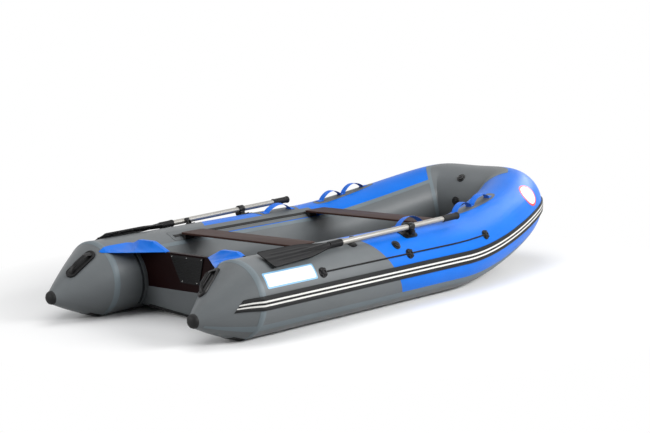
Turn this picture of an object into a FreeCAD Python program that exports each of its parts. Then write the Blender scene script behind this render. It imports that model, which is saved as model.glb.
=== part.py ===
import FreeCAD, Part
import math
import os

os.makedirs("parts", exist_ok=True)
V = FreeCAD.Vector

# An inflatable rowing boat that also takes a small motor, with its two oars stowed on the tubes.
# Millimetres. X forward, Y to port, Z up. While it is drawn, x = 0 is the ring seam where each stern
# cone meets its side tube. At the end everything moves so that the origin is on the ground, midway
# between bow and stern.

# Air tubes
tube_radius = 210.0
tube_half_spacing = 560.0
straight_length = 1690.0
bow_reach = 1090.0
bow_rise = 172.0
bow_lead = 464.0
bow_sweep_forward = 130.0
bow_sweep_half_width = 275.0
bow_sweep_rise = 216.0
bow_front_half_width = 360.0
bow_seam_fraction = 0.59

# Spaces between pieces that touch, and how far a cutting shape reaches past the boat
face_gap = 0.3
skin_gap = 0.5
overlap = 1.0
cutter_reach = 2.5 * tube_half_spacing

# Stern cones and their rubber caps
cone_length = 300.0
cone_end_radius = 36.0
cone_end_height = 149.0
cone_bulge = 7.0
cap_length = 24.0
cap_radius = 39.0
cap_rounding = 9.0
wear_patch_setback = 6.0
wear_patch_length = 74.0
wear_patch_angle = 44.0
wear_patch_thickness = 2.5

# Rubbing strake, with a slanted end on each cone
strake_low_angle = -9.5
strake_high_angle = 13.5
strake_thickness = 8.0
strake_on_cone = 142.0
strake_end_low_angle = -1.0
strake_end_high_angle = 20.0
strake_end_slant = 48.0

# Hull bottom and floor
hull_attach_angle = -128.0
hull_fabric = 3.0
keel_height = 4.0
keel_rise_before_bend = 190.0
keel_rise_power = 2.6
hull_front_fraction = 0.88
keel_strip_half_width = 32.0
keel_strip_thickness = 3.5
keel_strip_from_transom = 85.0
floor_height = 70.0
floor_thickness = 9.0
floor_panel_count = 3
floor_panel_spacing = 0.6
floor_before_bend = 25.0
floor_transom_space = 2.0
bow_panel_length = 700.0
bow_panel_rise = 85.0
bow_panel_side_space = 10.0
stringer_width = 34.0
stringer_height = 12.0
stringer_inset = 4.0
stringer_end_inset = 20.0

# Transom, with a shoulder on each side of the motor's place
transom_aft_x = 245.0
transom_rake = 7.0
transom_thickness = 27.0
transom_top = 368.0
motor_place_half_width = 165.0
shoulder_half_width = 270.0
shoulder_rise = 50.0
shoulder_outer_inset = 176.0
shoulder_corner_inset = 138.0
shoulder_corner_drop = 20.0
transom_side_inset = 132.0
flange_thickness = 6.0
flange_wing = 24.0
flange_hull_space_angle = 3.5
flange_high_angle = 141.0
skirt_top = 157.0
skirt_thickness = 2.5
strip_side_inset = 202.0
strip_height = 11.0
strip_thickness = 8.0
pad_top_half_width = 130.0
pad_bottom_half_width = 73.0
pad_top = 358.0
pad_bottom = 205.0
pad_thickness = 8.0
rib_pitch = 9.0
rib_width = 4.0
rib_depth = 2.0

# Blue fabric over each shoulder, with a web that runs aft to the top of the cone
web_thickness = 2.5
cap_depth = 26.0
web_tail_x = -20.0
web_tail_outer_angle = 119.0
web_tail_inner_angle = 124.0
web_joint_angle = 117.0
web_joint_before_board = (192.0, 120.0, 60.0, 8.0)
web_joint_shares = (0.10, 0.26, 0.42, 0.56)
web_board_shares = (0.64, 0.73, 0.90)

# Seats
seat_width = 178.0
seat_end_inset = 110.0
seat_thickness = 11.0
seat_corner = 22.0
rear_seat_x = 574.0
front_seat_before_bend = 65.0
track_low_angle = 117.0
track_high_angle = 127.0
track_thickness = 5.0
track_before_seat = 49.0
bracket_length = 64.0
bracket_drop = 26.0
bracket_width = 44.0
bracket_over_track = 16.0

# Oars, rowlocks and clips. Places along an oar are counted from its rowlock.
oar_angle = 64.0
oar_slope = 1.5
rowlock_before_bend = 400.0
oar_height_at_rowlock = 44.0
shaft_radius = 16.0
shaft_wall = 1.5
blade_length = 275.0
blade_taper_length = 225.0
blade_width = 145.0
blade_neck_width = 124.0
blade_thickness = 5.0
blade_corner = 9.0
blade_rib_height = 3.0
blade_rib_width = 7.0
blade_rib_offset = 30.0
blade_rib_start = 60.0
sleeve_reach = 577.0
sleeve_length = 78.0
sleeve_end_wall = 5.0
sleeve_onto_blade = 60.0
sleeve_radius = 20.0
grip_reach = 427.0
grip_length = 137.0
grip_radius = 19.0
grip_end_radius = 22.0
grip_end_length = 12.0
slip_clearance = 0.1
yoke_length = 44.0
yoke_width = 46.0
yoke_above_shaft = 23.0
rowlock_boss_radius = 21.0
rowlock_boss_height = 15.0
rowlock_pin_radius = 6.0
rowlock_pin_height = 25.0
rowlock_gap = 0.5
rowlock_pin_clearance = 0.08
rowlock_pad_length = 118.0
rowlock_pad_width = 84.0
rowlock_pad_thickness = 5.0
rowlock_pad_corner = 24.0
knob_radius = 15.0
knob_length = 16.0
knob_height = 27.0
clip_reach = 472.0
clip_base_length = 62.0
clip_base_width = 84.0
clip_base_thickness = 4.0
clip_base_corner = 20.0
clip_arm_wrap = 0.55
clip_arm_thickness = 7.0
clip_arm_length = 34.0
clip_side_gap = 1.0
clip_lip_width = 9.0
clip_under_gap = 5.5

# Carry handles on the cones
cone_handle_angle = 113.0
cone_handle_x = -128.0
cone_handle_length = 206.0
cone_handle_width = 66.0
cone_handle_base = 5.0
cone_handle_seat = 12.0
cone_grip_rise = 34.0
cone_grip_span = 158.0
cone_grip_width = 28.0
cone_grip_thickness = 12.0
cone_grip_slope = 24.0
cone_grip_leg = 15.0

# Webbing handles on the tubes. Their feet are counted from the start of the tube's bend.
strap_width = 34.0
strap_thickness = 3.0
strap_foot_length = 42.0
strap_foot_corner = 3.0
strap_loop_overlap = 6.0
strap_rise = 44.0
single_strap_feet = (-338.0, -110.0)
single_strap_angles = (100.0, 100.0)
twin_strap_feet = (195.0, 388.0, 584.0)
twin_strap_angles = (94.0, 91.0, 84.0)

# Grab line along each side, with the rubber rosettes that it runs through
line_angle = 26.5
line_radius = 4.5
line_height = 8.0
line_hole_gap = 0.3
line_bend_radius = 3000.0
first_rosette_x = 473.0
middle_rosette_x = 1193.0
last_rosette_past_bend = 205.0
rosette_flange_radius = 29.0
rosette_flange_thickness = 3.0
rosette_boss_radius = 18.0
rosette_boss_taper = 0.72
rosette_boss_height = 17.0

# Air valves
valve_flange_radius = 29.0
valve_flange_thickness = 5.0
valve_cap_radius = 19.0
valve_cap_height = 12.0
valve_rounding = 1.5
side_valve_before_rowlock = 167.0
side_valve_angle = 45.0
upper_valve_angle = 136.0
lower_valve_angle = 179.0

# Places that follow from the sizes above
floor_top = floor_height + floor_thickness
floor_aft = transom_aft_x + transom_thickness + flange_wing + floor_transom_space
floor_forward = straight_length - floor_before_bend
floor_pitch = (floor_forward - floor_aft) / floor_panel_count
keel_rise_start = straight_length - keel_rise_before_bend
seat_half_length = tube_half_spacing - seat_end_inset
front_seat_x = straight_length - front_seat_before_bend
track_aft = rear_seat_x - track_before_seat
rowlock_x = straight_length - rowlock_before_bend
clip_x = rowlock_x - clip_reach
side_valve_x = rowlock_x - side_valve_before_rowlock
rosette_x = (first_rosette_x, middle_rosette_x, straight_length + last_rosette_past_bend)
shaft_reach = sleeve_reach + sleeve_length - sleeve_end_wall


def cosd(angle):
    return math.cos(math.radians(angle))


def sind(angle):
    return math.sin(math.radians(angle))


def tand(angle):
    return math.tan(math.radians(angle))


# The axis of the port tube beyond its straight part, ending on the centreline
bow_end_x = straight_length + bow_reach
bow_axis = Part.BezierCurve()
bow_axis.setPoles([
    V(straight_length, tube_half_spacing, tube_radius),
    V(straight_length + bow_lead, tube_half_spacing, tube_radius),
    V(bow_end_x + bow_sweep_forward, bow_sweep_half_width, tube_radius + bow_sweep_rise),
    V(bow_end_x, bow_front_half_width, tube_radius + bow_rise),
    V(bow_end_x, 0, tube_radius + bow_rise),
])


def frame_at(fraction):
    """Centre, tangent, outboard and up directions of the port tube, by the fraction of its bow curve."""
    centre = bow_axis.value(fraction)
    tangent = V(*bow_axis.tangent(fraction)[0])
    outboard = tangent.cross(V(0, 0, 1)) * -1
    outboard.normalize()
    return centre, tangent, outboard, tangent.cross(outboard)


def tube_frame(x):
    """The same at a distance forward of the stern ring seam."""
    if x <= straight_length:
        return V(x, tube_half_spacing, tube_radius), V(1, 0, 0), V(0, 1, 0), V(0, 0, 1)
    low, high = 0.0, bow_seam_fraction
    for _ in range(40):
        middle = (low + high) / 2
        if bow_axis.value(middle).x < x:
            low = middle
        else:
            high = middle
    return frame_at(low)


def around(frame, radius, angle):
    """A point round the tube: 0 degrees is outboard, 90 the crown, 180 inboard."""
    centre, tangent, outboard, up = frame
    return centre + outboard * (radius * cosd(angle)) + up * (radius * sind(angle))


def inner_half_width(x, height):
    """Distance from the centreline to the tube's inner side, at a place and a height."""
    centre, tangent = tube_frame(x)[:2]
    half = math.sqrt(tube_radius ** 2 - (centre.z - height) ** 2)
    return centre.y - half / abs(tangent.x)


def placed(shape, origin, x_axis, z_axis):
    """Move a shape drawn at the origin to a place with its own x and z directions."""
    y_axis = z_axis.cross(x_axis)
    matrix = FreeCAD.Matrix(
        x_axis.x, y_axis.x, z_axis.x, origin.x,
        x_axis.y, y_axis.y, z_axis.y, origin.y,
        x_axis.z, y_axis.z, z_axis.z, origin.z,
        0, 0, 0, 1,
    )
    return shape.transformed(matrix)


def on_tube(shape, x, angle):
    """Set a shape with its local z along the tube's normal, its local origin on the tube's skin."""
    frame = tube_frame(x)
    normal = around(frame, 1, angle) - frame[0]
    return placed(shape, around(frame, tube_radius, angle), frame[1], normal)


def mirrored(shape):
    return shape.mirror(V(0, 0, 0), V(0, 1, 0))


def box(x0, x1, y0, y1, z0, z1):
    return Part.makeBox(x1 - x0, y1 - y0, z1 - z0, V(x0, y0, z0))


def prism(points, direction):
    """A closed polygon pushed along a direction."""
    return Part.Face(Part.makePolygon(points + points[:1])).extrude(direction)


def rod(radius, start, end):
    return Part.makeCylinder(radius, (end - start).Length, start, end - start)


def rounded_plate(length, width, thickness, corner):
    """A plate in the xy plane about the origin, with rounded corners."""
    plate = box(-length / 2, length / 2, -width / 2, width / 2, 0, thickness)
    uprights = [edge for edge in plate.Edges if abs(edge.tangentAt(edge.FirstParameter).z) > 0.9]
    return plate.makeFillet(corner, uprights)


def fused(shapes):
    return shapes[0].fuse(shapes[1:]).removeSplitter()


def bow_edge(first, last):
    """The tube's axis between two fractions of the bow curve."""
    curve = bow_axis.copy()
    curve.segment(first, last)
    return Part.Wire(curve.toShape())


def bow_piece(first, last):
    """A length of tube between two fractions of the bow curve."""
    centre, tangent = frame_at(first)[:2]
    circle = Part.Wire(Part.makeCircle(tube_radius, centre, tangent))
    return bow_edge(first, last).makePipeShell([circle], True, False)


def strip_section(frame, inner, outer, low, high):
    """The outline of a strip on a round skin, across it."""
    middle = (low + high) / 2
    points = [around(frame, inner, low), around(frame, inner, middle), around(frame, inner, high),
              around(frame, outer, high), around(frame, outer, middle), around(frame, outer, low)]
    return Part.Wire([
        Part.Arc(*points[:3]).toShape(),
        Part.makeLine(points[2], points[3]),
        Part.Arc(*points[3:]).toShape(),
        Part.makeLine(points[5], points[0]),
    ])


def straight_strip(inner, outer, low, high, aft, forward):
    section = strip_section(tube_frame(aft), inner, outer, low, high)
    return Part.Face(section).extrude(V(forward - aft, 0, 0))


# Air tubes
def side_tube():
    """The port side tube, from the stern ring seam to the bow ring seam."""
    straight = Part.makeCylinder(tube_radius, straight_length,
                                 V(0, tube_half_spacing, tube_radius), V(1, 0, 0))
    return fused([straight, bow_piece(0, bow_seam_fraction)])


def bow_tube():
    """The tube across the bow, between the two ring seams."""
    half = bow_piece(bow_seam_fraction, 1)
    return fused([half, mirrored(half)])


# Stern cone, its cap and the wear patch under its base
def cone_frame(x):
    """Centre and directions of the cone at x between the ring seam and the cap, and its radius."""
    share = -x / cone_length
    height = tube_radius + (cone_end_height - tube_radius) * share
    radius = tube_radius + (cone_end_radius - tube_radius) * share
    frame = (V(x, tube_half_spacing, height), V(1, 0, 0), V(0, 1, 0), V(0, 0, 1))
    return frame, radius + 4 * cone_bulge * share * (1 - share)


def cone_circle(x, extra=0.0):
    frame, radius = cone_frame(x)
    return Part.Wire(Part.makeCircle(radius + extra, frame[0], V(1, 0, 0)))


def stern_cone():
    """The pointed tail of the port tube."""
    stations = [-cone_length * share for share in (0, 0.25, 0.5, 0.75, 1)]
    return Part.makeLoft([cone_circle(x) for x in stations], True, False)


def cone_cap():
    centre = V(-cone_length, tube_half_spacing, cone_end_height)
    cap = Part.makeCylinder(cap_radius, cap_length, centre, V(-1, 0, 0))
    rims = [edge for edge in cap.Edges if edge.CenterOfMass.x < -cone_length - cap_length / 2]
    outer = [edge for edge in rims if edge.Length > cap_length * 2]
    return cap.makeFillet(cap_rounding, outer)


def wear_patch():
    aft = -wear_patch_setback - wear_patch_length
    stations = [-wear_patch_setback, (aft - wear_patch_setback) / 2, aft]
    outer = Part.makeLoft([cone_circle(x, wear_patch_thickness) for x in stations], True, False)
    reach = tube_radius * 1.2
    half = reach * sind(wear_patch_angle / 2)
    wedge = prism([V(0, tube_half_spacing, tube_radius), V(0, tube_half_spacing - half, -reach * 0.2),
                   V(0, tube_half_spacing + half, -reach * 0.2)], V(-cone_length, 0, 0))
    return outer.common(wedge).cut(port_cone)


port_tube = side_tube()
port_cone = stern_cone()
front_tube = bow_tube()


# Rubbing strake, from one cone round the bow to the other
def strake_on_tail():
    """The strake's end on the cone, cut off at a slant."""
    sections = []
    for share in (0, 1 / 3, 2 / 3, 1):
        frame, radius = cone_frame(-strake_on_cone * share)
        low = strake_low_angle + (strake_end_low_angle - strake_low_angle) * share
        high = strake_high_angle + (strake_end_high_angle - strake_high_angle) * share
        inner = radius + skin_gap
        sections.append(strip_section(frame, inner, inner + strake_thickness, low, high))
    tail = Part.makeLoft(sections, True, False)
    frame, radius = cone_frame(-strake_on_cone)
    low_z = around(frame, radius, strake_end_low_angle).z
    high_z = around(frame, radius, strake_end_high_angle).z
    slope = strake_end_slant / (high_z - low_z)
    above = (low_z + tube_radius - low_z) * slope
    wedge = prism([V(-strake_on_cone, 0, low_z), V(-strake_on_cone + above, 0, low_z + tube_radius),
                   V(-cutter_reach, 0, low_z + tube_radius), V(-cutter_reach, 0, low_z)],
                  V(0, cutter_reach, 0))
    return tail.cut([wedge, port_cone])


def rubbing_strake():
    inner = tube_radius + skin_gap
    outer = inner + strake_thickness
    straight = straight_strip(inner, outer, strake_low_angle, strake_high_angle, 0, straight_length)
    sweep = Part.BRepOffsetAPI.MakePipeShell(bow_edge(0, 1))
    sweep.setBiNormalMode(V(0, 0, 1))
    sweep.add(strip_section(frame_at(0), inner, outer, strake_low_angle, strake_high_angle))
    sweep.build()
    sweep.makeSolid()
    half = fused([strake_on_tail(), straight, sweep.shape()])
    return fused([half, mirrored(half)])


# Hull bottom and floor
def keel_z(x):
    if x < keel_rise_start:
        return keel_height
    end = around(frame_at(1), tube_radius, hull_attach_angle)
    share = (x - keel_rise_start) / (end.x - keel_rise_start)
    return keel_height + (end.z - keel_height) * share ** keel_rise_power


def hull_section(frame):
    edge = around(frame, tube_radius + skin_gap, hull_attach_angle)
    far_edge = V(edge.x, -edge.y, edge.z)
    keel = V(edge.x, 0, keel_z(edge.x))
    lift = V(0, 0, hull_fabric)
    inside = V(0, hull_fabric, 0)
    points = [edge, keel, far_edge, far_edge + lift + inside, keel + lift, edge + lift - inside]
    return Part.makePolygon(points + points[:1])


def hull_bottom():
    aft = transom_aft_x
    frames = [tube_frame(x) for x in (aft, (aft + straight_length) / 2, straight_length)]
    steps = 6
    frames += [frame_at(hull_front_fraction * step / steps) for step in range(1, steps + 1)]
    return Part.makeLoft([hull_section(frame) for frame in frames], True, True)


def vee_height(y):
    """How far the underside of the hull rises from the keel, at a distance from the centreline."""
    edge = around(tube_frame(0), tube_radius + skin_gap, hull_attach_angle)
    return (edge.z - keel_height) * abs(y) / edge.y


def keel_strip():
    """A flat rubber band under the keel."""
    aft = transom_aft_x + keel_strip_from_transom
    wing = vee_height(keel_strip_half_width)
    top = keel_height - face_gap
    bottom = top - keel_strip_thickness
    points = [V(aft, 0, top), V(aft, keel_strip_half_width, top + wing),
              V(aft, keel_strip_half_width, bottom + wing), V(aft, 0, bottom),
              V(aft, -keel_strip_half_width, bottom + wing), V(aft, -keel_strip_half_width, top + wing)]
    return prism(points, V(keel_rise_start - aft, 0, 0))


def floor_panel(index):
    aft = floor_aft + index * floor_pitch
    half = inner_half_width(aft, floor_top) - face_gap
    return box(aft, aft + floor_pitch - floor_panel_spacing, -half, half, floor_height, floor_top)


def bow_floor_panel():
    """The front panel, which rises with the hull and narrows with the tubes."""
    aft, forward = floor_forward, floor_forward + bow_panel_length
    low, high = floor_height, floor_height + bow_panel_rise
    wide = inner_half_width(aft, low + floor_thickness) - bow_panel_side_space
    narrow = inner_half_width(forward, high + floor_thickness) - bow_panel_side_space
    outline = [V(aft, wide, low), V(forward, narrow, high), V(forward, -narrow, high), V(aft, -wide, low)]
    return prism(outline, V(0, 0, floor_thickness))


def stringer():
    """The aluminium edge profile that locks the floor panels together."""
    low = floor_top + face_gap
    outer = inner_half_width(floor_aft, low + stringer_height) - stringer_inset
    return box(floor_aft + stringer_end_inset, floor_forward - stringer_end_inset,
               outer - stringer_width, outer, low, low + stringer_height)


# Transom
def raked_slab(aft_offset, fore_offset):
    """A slab parallel to the transom, by its distances forward of the transom's aft face."""
    slab = box(aft_offset, fore_offset, -cutter_reach, cutter_reach, -cutter_reach, cutter_reach)
    slab.rotate(V(0, 0, 0), V(0, 1, 0), -transom_rake)
    slab.translate(V(transom_aft_x, 0, 0))
    return slab


def across_boat(points):
    """A prism along x from an outline given as y, z pairs."""
    return prism([V(-cutter_reach, y, z) for y, z in points], V(2 * cutter_reach, 0, 0))


def tube_cores():
    """The space of both tubes with the transom's rubber holders on them."""
    radius = tube_radius + flange_thickness + face_gap
    return [rod(radius, V(-cutter_reach, y, tube_radius), V(cutter_reach, y, tube_radius))
            for y in (tube_half_spacing, -tube_half_spacing)]


def transom_foot(y):
    """Height of the transom's lower edge, on the hull's fabric."""
    return keel_height + hull_fabric + face_gap + vee_height(y)


transom_side = tube_half_spacing - transom_side_inset
shoulder_top = transom_top + shoulder_rise
shoulder_line = [
    (motor_place_half_width, transom_top),
    (shoulder_half_width, shoulder_top),
    (tube_half_spacing - shoulder_outer_inset, shoulder_top),
    (tube_half_spacing - shoulder_corner_inset, shoulder_top - shoulder_corner_drop),
]


def both_sides(half_outline):
    """A closed outline from its port half, which starts and ends on or near the centreline."""
    return half_outline + [(-y, z) for y, z in reversed(half_outline) if y]


def transom():
    half = [(0, transom_foot(0)), (transom_side, transom_foot(transom_side))]
    half += [(transom_side, shoulder_line[-1][1])] + shoulder_line[::-1]
    board = across_boat(both_sides(half)).common(raked_slab(0, transom_thickness))
    return board.cut(tube_cores())


def transom_flange():
    """The rubber holder on the tube that the transom's end sits on."""
    low = 360 + hull_attach_angle - flange_hull_space_angle
    ring = straight_strip(tube_radius, tube_radius + flange_thickness, flange_high_angle, low,
                          0, 2 * transom_aft_x)
    return ring.common(raked_slab(-flange_wing, transom_thickness + flange_wing))


def transom_skirt():
    half = [(0, transom_foot(0)), (transom_side, transom_foot(transom_side)), (transom_side, skirt_top)]
    sheet = across_boat(both_sides(half)).common(raked_slab(-face_gap - skirt_thickness, -face_gap))
    return sheet.cut(tube_cores())


def transom_bottom_strip():
    side = tube_half_spacing - strip_side_inset
    low, edge = transom_foot(0), transom_foot(side)
    half = [(0, low), (side, edge), (side, edge + strip_height), (0, low + strip_height)]
    outline = half[:3] + [half[3], (-side, edge + strip_height), (-side, edge)]
    aft = -face_gap - skirt_thickness - face_gap
    return across_boat(outline).common(raked_slab(aft - strip_thickness, aft)).cut(tube_cores())


def motor_pad(aft_offset, fore_offset, ribs_aft):
    outline = [(pad_top_half_width, pad_top), (pad_bottom_half_width, pad_bottom),
               (-pad_bottom_half_width, pad_bottom), (-pad_top_half_width, pad_top)]
    pad = across_boat(outline).common(raked_slab(aft_offset, fore_offset))
    if ribs_aft:
        groove_slab = raked_slab(aft_offset - overlap, aft_offset + rib_depth)
    else:
        groove_slab = raked_slab(fore_offset - rib_depth, fore_offset + overlap)
    height = pad_bottom + rib_pitch
    grooves = []
    while height < pad_top - rib_pitch:
        grooves.append(box(0, cutter_reach, -pad_top_half_width, pad_top_half_width,
                           height, height + rib_width))
        height += rib_pitch
    return pad.cut(Part.Compound(grooves).common(groove_slab))


# Blue fabric on the transom's shoulders
def shoulder_cap():
    """Fabric folded over the shoulder, down both faces of the board."""
    half = [(y, z + face_gap + web_thickness) for y, z in shoulder_line]
    half += [(y, z - cap_depth) for y, z in reversed(shoulder_line)]
    reach = face_gap + web_thickness
    cap = across_boat(half).common(raked_slab(-reach, transom_thickness + reach))
    board = [(y, z + face_gap) for y, z in reversed(shoulder_line)]
    board = [(0, 0), (tube_half_spacing, 0), (tube_half_spacing, board[0][1])] + board
    inside = across_boat(board).common(raked_slab(-face_gap, transom_thickness + face_gap))
    return cap.cut(inside)


def tail_web():
    """A tight web from the tail's top to the shoulder, drawn as narrow triangles side by side."""
    tail, radius = cone_frame(web_tail_x)
    start = around(tail, radius + face_gap, web_tail_inner_angle)
    top = face_gap
    aft = transom_aft_x - face_gap - web_thickness / 2
    board = [V(aft - (z + top) * tand(transom_rake), y, z + top) for y, z in reversed(shoulder_line)]
    board_x = board[0].x
    outer = [around(tail, radius + face_gap, web_tail_outer_angle)]
    outer += [around(tube_frame(board_x - back), tube_radius + face_gap, web_joint_angle)
              for back in web_joint_before_board]
    outer += board
    shares = (0,) + web_joint_shares + web_board_shares
    free = [start + (board[-1] - start) * share for share in shares]
    up = V(0, 0, web_thickness)
    pieces = []
    for k in range(len(free)):
        pieces.append(prism([outer[k], outer[k + 1], free[k]], up))
        if k + 1 < len(free):
            pieces.append(prism([outer[k + 1], free[k + 1], free[k]], up))
    return pieces


def gusset():
    return fused([shoulder_cap()] + tail_web()).cut([port_tube, port_cone])


# Seats
# Height at which both ends of a plank rest on the tracks
seat_underside = tube_radius + face_gap + math.sqrt(
    (tube_radius + track_thickness) ** 2 - (tube_half_spacing - seat_half_length) ** 2)


def seat(x):
    plank = rounded_plate(seat_width, 2 * seat_half_length, seat_thickness, seat_corner)
    plank.translate(V(x + seat_width / 2, 0, seat_underside))
    return plank


def seat_track():
    return straight_strip(tube_radius, tube_radius + track_thickness, track_low_angle,
                          track_high_angle, track_aft, straight_length)


def seat_brackets(x):
    """Two plastic shoes under the plank's ends, each hooked over its track."""
    outer = around(tube_frame(0), tube_radius, track_high_angle).y + bracket_over_track
    shoe = box(x, x + bracket_length, outer - bracket_width, outer,
               seat_underside - bracket_drop, seat_underside - face_gap)
    rail = rod(tube_radius + track_thickness + face_gap, V(0, tube_half_spacing, tube_radius),
               V(2 * straight_length, tube_half_spacing, tube_radius))
    shoe = shoe.cut(rail)
    return Part.Compound([shoe, mirrored(shoe)])


# Oars. Each is drawn along x with its rowlock pin at the origin, then set on its tube.
def oar_placed(shape):
    shape.rotate(V(0, 0, 0), V(0, 1, 0), -oar_slope)
    shape.translate(V(0, 0, oar_height_at_rowlock))
    return on_tube(shape, rowlock_x, oar_angle)


def oar_shaft():
    start, end = V(-shaft_reach, 0, 0), V(grip_reach - grip_end_length, 0, 0)
    along = V(overlap, 0, 0)
    return oar_placed(rod(shaft_radius, start, end).cut(
        rod(shaft_radius - shaft_wall, start - along, end + along)))


def oar_blade():
    root = -sleeve_reach - sleeve_length
    neck = root - blade_taper_length
    aft = neck - blade_length
    half, neck_half = blade_width / 2, blade_neck_width / 2
    outline = [V(aft, half - blade_corner, 0), V(aft + blade_corner, half, 0), V(neck, neck_half, 0),
               V(root, sleeve_radius, 0), V(root, -sleeve_radius, 0), V(neck, -neck_half, 0),
               V(aft + blade_corner, -half, 0), V(aft, blade_corner - half, 0)]
    plate = prism(outline, V(0, 0, blade_thickness))
    ribs = [box(aft + blade_rib_start, neck, y - blade_rib_width / 2, y + blade_rib_width / 2,
                blade_thickness, blade_thickness + blade_rib_height)
            for y in (-blade_rib_offset, 0, blade_rib_offset)]
    plate = fused([plate] + ribs)
    plate.translate(V(0, 0, -blade_thickness / 2))
    sleeve_end = V(-sleeve_reach, 0, 0)
    sleeve = rod(sleeve_radius, V(root - sleeve_onto_blade, 0, 0), sleeve_end)
    socket = rod(shaft_radius + slip_clearance, V(-shaft_reach - slip_clearance, 0, 0), sleeve_end)
    return oar_placed(fused([plate, sleeve]).cut(socket))


def oar_grip():
    start, end = V(grip_reach - grip_length, 0, 0), V(grip_reach, 0, 0)
    stop = V(grip_reach - grip_end_length, 0, 0)
    grip = fused([rod(grip_radius, start, end), rod(grip_end_radius, stop, end)])
    return oar_placed(grip.cut(rod(shaft_radius + slip_clearance, start, stop)))


def oar_yoke():
    """The clamp round the shaft, which turns on the rowlock's pin, with its screw knob."""
    low = rowlock_boss_height + rowlock_gap
    high = oar_height_at_rowlock + yoke_above_shaft
    body = box(-yoke_length / 2, yoke_length / 2, -yoke_width / 2, yoke_width / 2, low, high)
    edges = [edge for edge in body.Edges if abs(edge.tangentAt(edge.FirstParameter).x) > 0.9
             and edge.CenterOfMass.z > (low + high) / 2]
    body = body.makeFillet(yoke_width / 4, edges)
    knob = rod(knob_radius, V(0, yoke_width / 2 - overlap, knob_height),
               V(0, yoke_width / 2 + knob_length, knob_height))
    body = fused([body, knob])
    along = V(cosd(oar_slope), 0, sind(oar_slope)) * yoke_length
    centre = V(0, 0, oar_height_at_rowlock)
    bore = rod(shaft_radius + slip_clearance, centre - along, centre + along)
    pin_hole = rod(rowlock_pin_radius + rowlock_pin_clearance, V(0, 0, low - rowlock_gap),
                   V(0, 0, rowlock_pin_height + rowlock_gap))
    return on_tube(body.cut([bore, pin_hole]), rowlock_x, oar_angle)


def skin_patch(outline, x, angle, thickness):
    """The part of a layer on the skin that lies under an outline, on the straight part of the tube."""
    start = V(-cutter_reach, tube_half_spacing, tube_radius)
    end = V(cutter_reach + straight_length, tube_half_spacing, tube_radius)
    layer = rod(tube_radius + thickness, start, end).cut(rod(tube_radius, start, end))
    return layer.common(on_tube(outline, x, angle))


def pad_outline(length, width, corner, shift=0.0):
    """A rounded plate deep enough to meet the tube's skin under all of it."""
    depth = tube_radius / 4
    outline = rounded_plate(length, width, 2 * depth, corner)
    outline.translate(V(0, shift, -depth))
    return outline


def rowlock_base():
    outline = pad_outline(rowlock_pad_length, rowlock_pad_width, rowlock_pad_corner)
    pad = skin_patch(outline, rowlock_x, oar_angle, rowlock_pad_thickness)
    boss = rod(rowlock_boss_radius, V(0, 0, overlap), V(0, 0, rowlock_boss_height))
    pin = rod(rowlock_pin_radius, V(0, 0, overlap), V(0, 0, rowlock_pin_height))
    return fused([pad, on_tube(fused([boss, pin]), rowlock_x, oar_angle)])


def oar_clip():
    """A foot on the tube, an arm on the shaft's inboard side and a low lip outboard of it."""
    outline = pad_outline(clip_base_length, clip_base_width, clip_base_corner, clip_base_width / 5)
    foot = skin_patch(outline, clip_x, oar_angle, clip_base_thickness)
    shaft_height = oar_height_at_rowlock - clip_reach * tand(oar_slope)
    inner = -shaft_radius - clip_side_gap
    half = clip_arm_length / 2
    arm = box(-half, half, inner - clip_arm_thickness, inner,
              -overlap, shaft_height + shaft_radius * clip_arm_wrap)
    lip = box(-half, half, shaft_radius, shaft_radius + clip_lip_width,
              -overlap, shaft_height - shaft_radius - clip_under_gap)
    clip = fused([foot, on_tube(arm, clip_x, oar_angle), on_tube(lip, clip_x, oar_angle)])
    return clip.cut(port_tube)


# Moulded carry handle on each cone
def cone_handle():
    """Drawn flat about the origin, then laid on the cone along one of its straight lines."""
    base = rounded_plate(cone_handle_length, cone_handle_width, cone_handle_base + cone_handle_seat,
                         cone_handle_width * 0.49)
    base.translate(V(0, 0, -cone_handle_seat))
    half = cone_grip_span / 2
    foot = cone_handle_base - overlap
    high = cone_handle_base + cone_grip_rise
    low = high - cone_grip_thickness
    shoulder = half - cone_grip_slope
    leg = cone_grip_leg
    outline = [V(-half, 0, foot), V(-shoulder, 0, high), V(shoulder, 0, high), V(half, 0, foot),
               V(half - leg, 0, foot), V(shoulder - leg / 2, 0, low), V(leg / 2 - shoulder, 0, low),
               V(leg - half, 0, foot)]
    bar = prism(outline, V(0, cone_grip_width, 0))
    bar.translate(V(0, -cone_grip_width / 2, 0))
    ends = []
    for x in (cone_handle_x - cone_handle_length / 2, cone_handle_x + cone_handle_length / 2):
        frame, radius = cone_frame(x)
        ends.append(around(frame, radius, cone_handle_angle))
    along = ends[1] - ends[0]
    along.normalize()
    side = V(0, sind(cone_handle_angle), -cosd(cone_handle_angle))
    normal = along.cross(side)
    if normal.z < 0:
        normal = normal * -1
    frame, radius = cone_frame(cone_handle_x)
    middle = around(frame, radius, cone_handle_angle)
    return placed(fused([base, bar]), middle + normal * face_gap, along, normal).cut(port_cone)


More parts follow.
